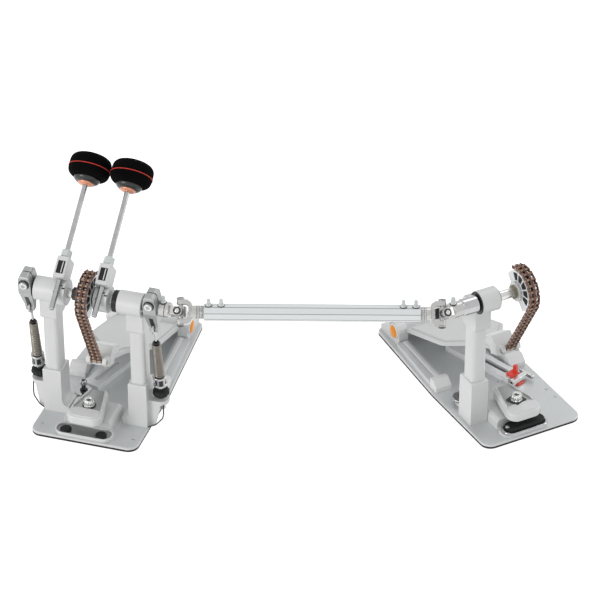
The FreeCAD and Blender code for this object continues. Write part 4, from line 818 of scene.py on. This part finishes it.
def makeSpring(side, setup):
    body, place = side + "_spring", armFrame(side)
    coil = bmesh.new()
    addTube(coil, coilPath(setup), setup["wire"], wireSides=8)
    makePiece(body + "_coil", coil, ["springBronze"], body, place, "spring", [body], edge=0)
    cap = bmesh.new()
    addLathe(cap, setup["cap"], steps=28, closed=True)
    addRod(cap, (setup["core"], setup["low"], setup["high"] + setup["lap"]), steps=24)
    makePiece(body + "_cap", cap, ["blackPlastic"], body, place, "rubber", edge=0.2)
    fit = bmesh.new()
    addCage(fit, setup)
    addLathe(fit, setup["knob"], steps=60, paint=2, flutes=setup["knobFlutes"])
    low, high = setup["nut"]
    addRod(fit, (setup["stem"], low, setup["cage"]["low"] + setup["lap"]), steps=16)
    middle, radius = setup["ball"]
    angles = steppedRange(-math.pi / 2, math.pi / 2, 12)
    addLathe(fit, [(radius * math.cos(a), middle + radius * math.sin(a)) for a in angles], steps=24)
    addPrism(fit, hexagon(setup["nutRadius"]), low, high)
    makePiece(body + "_fittings", fit, ["chrome", "blackPlastic", "rubberBlack"], body, place, "chrome",
              [body + "_adjuster"], edge=0.2)


makeEach(sides, makeSpring, springSetup)

# rockers: steel socket bolt on a dark washer; black fills paint the shade in its socket and in the eye
rockerSetup = dict(
    boltZ=12.0, face=-12.0, washer=(7.0, -0.1, 0.8), washerEase=0.2,
    head=[(0, 0.7), (5.3, 0.7), (5.3, 3.6), (4.6, 4.3), (2.7, 4.3), (2.7, 2.3), (0, 2.3)],
    socket=(2.5, 2.1, 2.6), socketEase=0.1,
    eye=[(-9.7, -11.0), (-5.3, -26.4), (0, -26.4), (0, -11.0)], eyeHalf=2.7,
)


def makeRockerTrim(side, setup):
    shape = bmesh.new()
    turn = shift(0, setup["face"], setup["boltZ"]) @ spin(math.pi / 2, "X")
    addRod(shape, setup["washer"], turn, 32, 1, setup["washerEase"])
    addLathe(shape, setup["head"], turn)
    # painted shade: a black disc in the bolt head's socket
    addRod(shape, setup["socket"], turn, 24, 1, setup["socketEase"])
    # painted shade: a black fill in the depth of the eye
    addPrism(shape, setup["eye"], -setup["eyeHalf"], setup["eyeHalf"], alongX, 1)
    makePiece(side + "_rocker_bolt", shape, ["rodSteel", "blackPlastic"], axleBody[side], armFrame(side),
              "chrome", edge=0.15)


makeEach(sides, makeRockerTrim, rockerSetup)

# wire guards from the spring brackets down to the base plate
guardSetup = dict(
    radius=0.9, path=[(6.0, 13, 40), (6.0, 12, 26), (5.0, 11, 20), (-3.0, 8, 11), (-13.0, 6, 6.4)],
)


def makeGuard(side, setup):
    ball = jointPlace(side + "_spring_swing") / unit
    way = math.copysign(1, ball.x)
    path = [Vector((ball.x + way * x, y, z)) for x, y, z in setup["path"]]
    shape = bmesh.new()
    addTube(shape, path, setup["radius"])
    makePiece(side + "_guard_wire", shape, ["collarGraphite"], "main_frame", pedalFrame("main"), "steel",
              edge=0)


makeEach(sides, makeGuard, guardSetup)
print("springs made")

# amber heel caps in silver rings, on the hinge pin
hingeSetup = dict(
    y=215.7, z=24.0, lugOut=57.0, pinRadius=4.0, ring=10.4, amber=9.3, depth=2.5, crown=2.4,
    lap=0.5, lip=0.6, step=0.8, fit=0.2,
)


def makeHinge(pedal, setup):
    shape = bmesh.new()
    centre = shift(0, setup["y"], setup["z"])
    out, ring, amber, lip = setup["lugOut"], setup["ring"], setup["amber"], setup["lip"]
    addRod(shape, (setup["pinRadius"], -out, out), centre @ alongX, 24)
    base, face = out - setup["lap"], out + setup["depth"]
    ledge, radius, crown = face - setup["step"], amber - setup["fit"], setup["crown"]
    rim = [(amber - lip, base), (ring, base), (ring, ledge)]
    rim += [(ring - lip, face), (amber, face), (amber - lip, ledge)]
    angles = steppedRange(0, math.pi / 2, 6)[:-1]
    dome = [(radius * math.cos(a), face - lip + crown * math.sin(a)) for a in angles]
    dome = [(0, base), (radius, base)] + dome + [(0, face - lip + crown)]
    for side in (1, -1):
        turn = centre @ mirrored(side) @ alongX
        addLathe(shape, rim, turn, 40, closed=True)
        addLathe(shape, dome, turn, 40, 1)
    framePiece(pedal, "hinge_caps", shape, ["brightMetal", "amberPlastic"], "amber",
               stands=[pedal + "_heel_hinge"], edge=0)


makeEach(pedals, makeHinge, hingeSetup)
print("heel hinges made")

# base plates: pale strips along the rails' grooves, white rail ends, a painted highlight round the plate's
# edge, and screws
railSetup = dict(
    strip=[(50.4, 104.0), (56.2, 104.0), (52.2, 201.5), (46.5, 201.5)], stripZ=(13.2, 15.0),
    end=[(86.8, 6.2), (103.2, 6.2), (103.2, 21.2), (95.9, 21.2), (86.8, 13.2)], endX=(44.8, 68.2),
    screws=dict(main=[(62.5, -26.0), (-62.5, -26.0)], slave=[(17.3, 71.1), (64.2, 27.7), (65.1, 7.5)]),
    screwRadius=2.0, screwHeights=(5.5, 6.3, 6.9, 7.0),
    plate=[(-72, -46, 14), (72, -46, 14), (72, 90, 2), (62, 256, 10), (-62, 256, 10), (-72, 90, 2)],
    edgeOut=0.15, edgeIn=0.8, edgeZ=(3.1, 5.5),
)


def grownOutline(corners, grow):
    # rounded outline with every corner moved out from the middle
    moved = []
    for x, y, bend in corners:
        outX, outY = grow * math.copysign(1, x), grow * math.copysign(1, y)
        moved.append((x + outX, y + outY, bend + grow))
    return roundedOutline(moved)


def makeRails(pedal, setup):
    strips = bmesh.new()
    for side in (1, -1):
        turn = mirrored(side)
        addPrism(strips, setup["strip"], *setup["stripZ"], turn)
        addPrism(strips, setup["end"], *setup["endX"], turn @ alongX)
    framePiece(pedal, "rail_strips", strips, ["stripWhite"], "plate", edge=0.6)
    # painted highlight: a white band round the plate's upper edge
    edgeHighlight = bmesh.new()
    outside = grownOutline(setup["plate"], setup["edgeOut"])
    inside = grownOutline(setup["plate"], -setup["edgeIn"])
    addPlate(edgeHighlight, outside, [inside], *setup["edgeZ"])
    framePiece(pedal, "plate_edge_highlight", edgeHighlight, ["stripWhite"], "plate", edge=0.2)
    screws = bmesh.new()
    for x, y in setup["screws"][pedal]:
        addDome(screws, setup["screwRadius"], setup["screwHeights"], shift(x, y), 20)
    framePiece(pedal, "plate_screws", screws, ["chrome"], "chrome", edge=0)


makeEach(pedals, makeRails, railSetup)

# rubber mats that show as a dark line under the plates, with the clamp's rubbers
matSetup = dict(
    corners=[(-72.1, -46.1, 14), (72.1, -46.1, 14), (72.1, 90, 0), (62.1, 256.1, 10), (-62.1, 256.1, 10),
             (-72.1, 90, 0)],
    matZ=(0.0, 3.2), pads=dict(main=[(-24, -36), (24, -36)], slave=[]), pad=(7.5, 9.5, 13.5), padEase=1.0,
    block=((-28, -42), (28, -25)), blockRound=8.0, blockZ=(9.5, 17.5),
)


def makeMat(pedal, setup):
    middle = shift(clampMiddle(pedal).x)
    shape = bmesh.new()
    addPrism(shape, roundedOutline(setup["corners"]), *setup["matZ"])
    for x, y in setup["pads"][pedal]:
        addRod(shape, setup["pad"], middle @ shift(x, y), 36, ease=setup["padEase"])
    if pedal == "slave":
        addPrism(shape, roundedRectangle(*setup["block"], setup["blockRound"]), *setup["blockZ"], middle)
    framePiece(pedal, "rubber_mat", shape, ["rubberBlack"], "rubber", stands=[pedal + "_rubbers"], edge=0.4)


makeEach(pedals, makeMat, matSetup)

# floor spurs: threaded stem, fluted wheel with a dark hub, and a knob with a dark tip
spurSetup = dict(
    places=dict(main=[(54, 50), (-31, 45)], slave=[(-50, 53)]),
    boss=[(0, 5.9), (8, 5.9), (6.6, 10.8), (5.6, 11.2), (0, 11.2)],
    wheel=[(0, 12.5), (11.7, 12.5), (12.5, 13.2), (12.5, 15.8), (11.7, 16.5), (0, 16.5)],
    wheelFlutes=(20, 0.8, 12.0), hub=(5.2, 16.3, 18.4), stem=(3.0, 11, 26.2), threads=11, threadDepth=0.5,
    knob=[(0, 26.0), (4.1, 26.0), (4.5, 26.6), (4.5, 31.0), (3.6, 32.4), (0, 32.4)],
    tip=(2.4, 32.3, 33.0), tipEase=0.2,
)


def threadProfile(setup):
    radius, low, high = setup["stem"]
    threads = setup["threads"]
    profile = [(0, low)]
    for height in steppedRange(low, high, threads)[:-1]:
        profile += [(radius, height), (radius - setup["threadDepth"], height + (high - low) / threads / 2)]
    return profile + [(radius, high), (0, high)]


def makeSpurs(pedal, setup):
    shape = bmesh.new()
    for x, y in setup["places"][pedal]:
        turn = shift(x, y)
        addLathe(shape, setup["boss"], turn, 36, 1)
        addLathe(shape, threadProfile(setup), turn, 20, 2)
        addLathe(shape, setup["wheel"], turn, 80, flutes=setup["wheelFlutes"])
        addRod(shape, setup["hub"], turn, 28, 3)
        addLathe(shape, setup["knob"], turn, 28)
        addRod(shape, setup["tip"], turn, 20, 3, setup["tipEase"])
    framePiece(pedal, "spur_wheels", shape, ["chrome", "castingPaint", "collarGraphite", "blackPlastic"],
               "chrome", stands=[pedal + "_spurs"], edge=0.2)


makeEach(pedals, makeSpurs, spurSetup)

# stay bars with a rounded slot; the slave's carries a red clip that holds a square drum key
staySetup = dict(
    place=dict(main=(-29, 64, -17), slave=(37, 64, 17)),  # x, y and angle in degrees
    deck=6.0, half=12.0, length=112.0, corner=1.5, height=8.0,
    slot=((-4, 12), (4, 64)), slotRound=3.98, slotFloor=3.5, inlayShare=0.97, inlayZ=(3.0, 3.9),
    slotFinish=dict(main="brightMetal", slave="slotGrey"),
    clip=[((-7, -3.2, 0.1), (7, -0.1, 11.0)), ((-7, -3.2, 8.1), (7, 9, 11.4)),
          ((-7, -12.8, 0.1), (7, -3.0, 2.7)), ((2, 0, 11.0), (7, 5, 21))],
    key=((-14, -10.6, 2.9), (14, -3.4, 10.1)), wing=((14, -17, 3.9), (18, 3, 9.1)),
    socket=((-14.2, -8.9, 4.6), (-13.2, -5.1, 8.4)), wingEnds=2.6, wingEase=0.8,
)


def stayFrame(pedal, setup):
    x, y, angle = setup["place"][pedal]
    place = Vector((x, y, setup["deck"])) * unit
    return pedalFrame(pedal) @ Matrix.Translation(place) @ spin(math.radians(angle), "Z")


def makeStay(pedal, setup):
    bar = bmesh.new()
    half, floor = setup["half"], setup["slotFloor"]
    outline = roundedRectangle((-half, 0), (half, setup["length"]), setup["corner"], 3)
    slot = roundedRectangle(*setup["slot"], setup["slotRound"], 8)
    addPrism(bar, outline, 0, floor)
    addPlate(bar, outline, [slot], floor, setup["height"])
    # painted shade: a darker floor in the slot on the slave, the bar's own metal on the main
    addPrism(bar, [(x * setup["inlayShare"], y) for x, y in slot], *setup["inlayZ"], paint=1)
    makePiece(pedal + "_stay_slotted", bar, ["brightMetal", setup["slotFinish"][pedal]], pedal + "_frame",
              stayFrame(pedal, setup), "plate", [pedal + "_stay_bar"], edge=0.7)


def makeKey(setup):
    place = stayFrame("slave", setup)
    stands = ["slave_stay_bar"]
    clip = bmesh.new()
    for low, high in setup["clip"]:
        addBox(clip, low, high)
    makePiece("slave_key_clip", clip, ["clipRed"], "slave_frame", place, "rubber", stands, edge=0.7)
    key = bmesh.new()
    addBox(key, *setup["key"])
    addBox(key, *setup["wing"])
    # painted shade: a black square for the depth of the key's socket
    addBox(key, *setup["socket"], paint=1)
    (left, front, low), (right, back, high) = setup["wing"]
    middle = (left + right) / 2
    for end in (front, back):
        addRod(key, (setup["wingEnds"], low, high), shift(middle, end), 20, ease=setup["wingEase"])
    makePiece("slave_drum_key", key, ["rodSteel", "blackPlastic"], "slave_frame", place, "chrome", stands,
              edge=0.4)


makeEach(pedals, makeStay, staySetup)
makeKey(staySetup)
print("base trim made")

# clamp bolts: fluted knobs over a dark washer, square on the slave; a dark hexagon paints the socket's shade
clampSetup = dict(
    washer=(8.9, 37.35, 38.6), washerEase=0.2, square=9.6, squareRound=1.2, squareZ=(37.35, 38.5),
    squareTurn=math.radians(20), knobFlutes=(12, 0.8, 7.0), socket=2.9, socketZ=(43.7, 44.4),
    knob=[(0, 38.6), (7.8, 38.6), (7.8, 39.6), (7.2, 40.2), (7.2, 45.4), (6.2, 46.6), (3.6, 46.6),
          (3.2, 46.2), (3.0, 44.0), (0, 43.8)],
    shank=4.0, shankTop=37.55, shankEase=0.8,
)


def makeClampBolt(pedal, setup):
    spot = clampMiddle(pedal)
    turn = shift(spot.x, spot.y)
    shape = bmesh.new()
    addRod(shape, setup["washer"], turn, 36, 1, setup["washerEase"])
    if pedal == "slave":
        half = setup["square"]
        outline = roundedRectangle((-half, -half), (half, half), setup["squareRound"])
        addPrism(shape, outline, *setup["squareZ"], turn @ spin(setup["squareTurn"], "Z"), 1)
    addLathe(shape, setup["knob"], turn, 72, flutes=setup["knobFlutes"])
    # painted shade: a dark hexagon at the bottom of the socket
    addPrism(shape, hexagon(setup["socket"]), *setup["socketZ"], turn, 1)
    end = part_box(pedal + "_clamp_bolt")[0].z / unit
    addRod(shape, (setup["shank"], end, setup["shankTop"]), turn, 24, ease=setup["shankEase"])
    makePiece(pedal + "_bolt_dome", shape, ["rodSteel", "collarGraphite"], pedal + "_bolt", pedalFrame(pedal),
              "chrome", [pedal + "_clamp_bolt"], edge=0.2)


makeEach(pedals, makeClampBolt, clampSetup)

# jaws: raised rims and nose, a darker tail as painted shade; trays: a rim with a darker floor, or a chrome
# lip
jawSetup = dict(
    rim=[(18.6, -21.0), (20.6, -21.0), (10.6, 23.0), (8.6, 23.0)], rimZ=(35.2, 39.6),
    nose=[(-20.6, -38.6, 10), (20.6, -38.6, 10), (20.2, -24.5, 2), (12.0, -20.0, 3), (-12.0, -20.0, 3),
          (-20.2, -24.5, 2)],
    noseZ=(35.0, 38.4), tail=[(-18.4, -19.6), (18.4, -19.6), (8.4, 23.2), (-8.4, 23.2)], tailZ=(36.0, 37.25),
    tray=((-38.4, -45.3), (38.4, -20.4)), trayCorner=11.5, trayWall=1.8, trayZ=(8.0, 11.8), trayFloor=9.9,
    lip=((-30.6, -44.4), (30.6, -22.6)), lipCorner=10.0, lipZ=11.2, lipRadius=1.9,
    dome=(-26.0, -34.0), domeRadius=3.0, domeHeights=(17.4, 18.0, 18.9, 19.1),
)


def addTray(shape, setup, middle):
    wall, corner = setup["trayWall"], setup["trayCorner"]
    (left, front), (right, back) = setup["tray"]
    inside = roundedRectangle((left + wall, front + wall), (right - wall, back - wall), corner - wall)
    outside = roundedRectangle((left, front), (right, back), corner)
    low, high = setup["trayZ"]
    addPlate(shape, outside, [inside], low, high, middle)
    addPrism(shape, inside, low, setup["trayFloor"], middle, 1)


def addLip(shape, setup, middle):
    outline = roundedRectangle(*setup["lip"], setup["lipCorner"], 8)
    path = [Vector((x, y, setup["lipZ"])) for x, y in outline]
    addTube(shape, path, setup["lipRadius"], middle, 12, closed=True)
    addDome(shape, setup["domeRadius"], setup["domeHeights"], middle @ shift(*setup["dome"]), 24)


def makeJawTrim(pedal, setup):
    middle = shift(clampMiddle(pedal).x)
    rims = bmesh.new()
    for side in (1, -1):
        addPrism(rims, setup["rim"], *setup["rimZ"], middle @ mirrored(side))
    addPrism(rims, roundedOutline(setup["nose"]), *setup["noseZ"], middle)
    # painted shade: the tail between the rims in a darker steel
    addPrism(rims, setup["tail"], *setup["tailZ"], middle, 1)
    makePiece(pedal + "_jaw_rims", rims, ["castingPaint", "rockerSteel"], pedal + "_jaw", pedalFrame(pedal),
              "casting", edge=0.6)
    tray = bmesh.new()
    if pedal == "main":
        addTray(tray, setup, middle)
        finishes = ["castingPaint", "trayGrey"]
    else:
        addLip(tray, setup, middle)
        finishes = ["chrome"]
    framePiece(pedal, "tray_trim", tray, finishes, "casting", edge=0.4)


makeEach(pedals, makeJawTrim, jawSetup)
print("clamps made")

# square-headed locking screws on dark washers
screwSetup = dict(
    washer=(4.6, -0.6, 1.0), washerEase=0.2, boss=[(0, 0.8), (4.2, 0.8), (3.36, 2.6), (2.4, 3.4), (0, 3.4)],
    half=2.4, corner=0.7, headZ=(2.8, 8.9), taper=0.86, finishes=["nutFrost", "collarGraphite"],
)


def addKeyScrew(shape, setup, turn):
    addRod(shape, setup["washer"], turn, 28, 1, setup["washerEase"])
    addLathe(shape, setup["boss"], turn, 28)
    half = setup["half"]
    outline = roundedRectangle((-half, -half), (half, half), setup["corner"], 3)
    addPrism(shape, outline, *setup["headZ"], turn, 0, setup["taper"])


# universal joints: forks with round arms on collars whose grooves are painted shade, and crosses with ringed
# pin heads
jointSetup = dict(
    roll=math.radians(50), length=325.0, armHalf=5.2, arm=(9.1, 15.4), armEase=0.6,
    fork=[(0, 15.4), (0, 9.1), (6.4, 9.1), (9.4, 7.6), (9.7, 2.4)],
    back=[(15.0, 6.6), (13.4, 11.6), (8.4, 15.4)],
    pinRing=(3.3, 4.95, 17.3, 17.9), pinDome=(3.1, 17.4, 18.6), pinEase=0.9,
    rodRadius=6.0, rodInTube=89.0, rightRodStart=118.5, axleRadius=6.4, axleEnd=9.6,
    collar=(8.4, 13.6, 28.8), grooves=(19.6, 21.6, 23.6, 25.6, 27.4), grooveWidth=0.6,
    sleeve=(10.0, 13.4, 27.0), sleeveBand=18.5, bandWidth=1.0, bandSink=0.4, bandRise=0.12,
    slaveSleeve=(11.2, 27.5, 49.6), slaveEase=1.0, sleeveLap=1, screwOff=2.5,
    dashes=[(68, 32.0), (84, 40.0), (60, 44.0)], dashSize=(1.6, 1.6, 1.0, 0.2),
)


def forkFrame(place, outward, pin):
    return frameFrom(place, outward, outward.cross(pin))


def addFork(shape, setup):
    # outline in the plane of shaft and pin, doubled about the shaft
    upper = setup["fork"]
    lower = [(x, -y) for x, y in reversed(upper)]
    back = [(x, -y) for x, y in reversed(setup["back"])] + setup["back"]
    half = setup["armHalf"]
    addPrism(shape, upper + lower + back, -half, half)
    low, high = setup["arm"]
    for ends in ((low, high), (-high, -low)):
        addRod(shape, (half, *ends), spin(-math.pi / 2, "X"), ease=setup["armEase"])


def addBand(shape, setup, radius, start, width, steps):
    # thin dark band round a turned surface
    ends = (start, start + width)
    addRing(shape, (radius - setup["bandSink"], radius + setup["bandRise"], *ends), alongX, steps, 1)


class Linkage:
    # places and pin ways of the two universal joints
    def __init__(self, setup):
        base = shaftFrame()
        turn = base.to_3x3()
        self.way = turn @ sideWay
        self.pin = turn @ Vector((0, -math.cos(setup["roll"]), -math.sin(setup["roll"])))
        self.centre = dict(main=base.translation, slave=base.translation + self.way * setup["length"] * unit)
        self.axle = dict(main=sideWay, slave=jointAxis("slave_axle_turn"))

    def axlePin(self, pedal):
        return self.axle[pedal].cross(self.pin).normalized()


linkage = Linkage(jointSetup)


def makeCross(pedal, setup):
    shape = bmesh.new()
    for domePaint, pin in ((1, linkage.pin), (0, linkage.axlePin(pedal))):
        for side in (1, -1):
            turn = frameFrom(Vector(), pin.orthogonal(), pin * side)
            addRing(shape, setup["pinRing"], turn, 32, 1)
            addRod(shape, setup["pinDome"], turn, 28, domePaint, setup["pinEase"])
    makePiece(pedal + "_cross_heads", shape, ["rodSteel", "blackPlastic"], pedal + "_cross",
              Matrix.Translation(linkage.centre[pedal]), "steel", edge=0.15)


def makeShaftFork(end, setup):
    left = end == "left"
    shape = bmesh.new()
    addFork(shape, setup)
    radius, low = setup["collar"][:2]
    addRod(shape, setup["collar"], alongX, 36)
    # painted shade: a dark band where each groove of the collar is
    for groove in setup["grooves"]:
        addBand(shape, setup, radius, groove, setup["grooveWidth"], 36)
    reach = setup["rodInTube"] if left else setup["length"] - setup["rightRodStart"]
    addRod(shape, (setup["rodRadius"], low, reach), alongX)
    centre = linkage.centre["main" if left else "slave"]
    place = forkFrame(centre, linkage.way if left else -linkage.way, linkage.pin)
    makePiece(f"shaft_{end}_fork", shape, ["yokeMetal", "collarGraphite"], "shaft" if left else "shaft_right",
              place, "steel", [f"shaft_{end}_yoke"], edge=0.5)


def makeDriveAxle(setup):
    centre = linkage.centre["main"]
    shape = bmesh.new()
    addFork(shape, setup)
    radius, low, high = setup["sleeve"]
    addRod(shape, setup["sleeve"], alongX, 40)
    addBand(shape, setup, radius, setup["sleeveBand"], setup["bandWidth"], 40)
    addRod(shape, (setup["axleRadius"], low, centre.x / unit - setup["axleEnd"]), alongX, 32, 2)
    makePiece("drive_axle_fork", shape, ["yokeMetal", "collarGraphite", "rodSteel"], "drive_axle",
              forkFrame(centre, -sideWay, linkage.axlePin("main")), "steel", ["drive_axle"], edge=0.4)
    screw = bmesh.new()
    addKeyScrew(screw, screwSetup, shift(-(low + high) / 2 - setup["screwOff"], 0, radius))
    makePiece("drive_axle_screw", screw, screwSetup["finishes"], "drive_axle", Matrix.Translation(centre),
              "chrome", edge=0.2)


def makeSlaveAxle(setup):
    centre = linkage.centre["slave"]
    shape = bmesh.new()
    addFork(shape, setup)
    innerRadius, innerLow = setup["sleeve"][:2]
    radius, low = setup["slaveSleeve"][:2]
    addRod(shape, (innerRadius, innerLow, low + setup["sleeveLap"]), alongX, 40)
    addRod(shape, setup["slaveSleeve"], alongX, 48, 3, setup["slaveEase"])
    for angle, middle in setup["dashes"]:
        addDash(shape, angle, middle, radius, setup["dashSize"], 1)
    start = pedalFrame("slave").inverted() @ centre / unit
    addRod(shape, (setup["axleRadius"], low, setup["axleEnd"] - start.x), alongX, 32, 2)
    place = forkFrame(centre, linkage.axle["slave"], linkage.axlePin("slave"))
    makePiece("slave_axle_fork", shape, ["yokeMetal", "blackPlastic", "rodSteel", "chrome"], "slave_axle",
              place, "steel", ["slave_axle"], edge=0.4)
    screw = bmesh.new()
    screwX = start.x + innerLow + setup["screwOff"]
    addKeyScrew(screw, screwSetup, shift(screwX, 0, axleZ / unit + innerRadius))
    makePiece("slave_axle_screw", screw, screwSetup["finishes"], "slave_axle", pedalFrame("slave"),
              "chrome", edge=0.2)


makeEach(pedals, makeCross, jointSetup)
makeEach(sides, makeShaftFork, jointSetup)
makeDriveAxle(jointSetup)
makeSlaveAxle(jointSetup)

# shaft tube: dark lines of painted shade along its eight edges, and four locking screws
tubeSetup = dict(
    flat=10.0, edges=8, ends=(29.2, 298.3), lineHalf=0.3, edgeShadeSink=0.6, lineRise=0.04,
    screwPlaces=[35.0, 50.5, 277.0, 292.5],
)


def makeTubeTrim(setup):
    lines = bmesh.new()
    edges, half = setup["edges"], setup["lineHalf"]
    reach = setup["flat"] / math.cos(math.pi / edges)
    low, high = setup["ends"]
    # painted shade: a thin dark strip on each facet edge
    for edge in range(edges):
        turn = spin(2 * math.pi / edges * (edge + 0.5), "X")
        addBox(lines, (low, reach - setup["edgeShadeSink"], -half), (high, reach + setup["lineRise"], half), turn)
    makePiece("shaft_tube_lines", lines, ["slotGrey"], "shaft", shaftFrame(), "tube", edge=0)
    screws = bmesh.new()
    for place in setup["screwPlaces"]:
        addKeyScrew(screws, screwSetup, shift(place, 0, setup["flat"]))
    makePiece("shaft_key_screws", screws, screwSetup["finishes"], "shaft", shaftFrame(), "chrome",
              ["shaft_screws"], edge=0.2)


makeTubeTrim(tubeSetup)
print("drive shaft made")

# black rings painted as the shade in the axle housings' bores, at their ends: outer radius, low and high
boreShadeSetup = dict(
    bore=7.0, main=[(14.2, 34.0, 41.4), (13.0, -72.0, -69.9)],
    slave=[(14.8, -65.8, -64.3), (13.0, -38.6, -36.4)],
)


def makeBoreShades(pedal, setup):
    shape = bmesh.new()
    # painted shade: one black ring at each end of the housing
    for size in setup[pedal]:
        addRing(shape, (setup["bore"], *size), axleTurn, 40)
    framePiece(pedal, "bore_shades", shape, ["blackPlastic"], "rubber", edge=0.5)


makeEach(pedals, makeBoreShades, boreShadeSetup)
print("seals made")
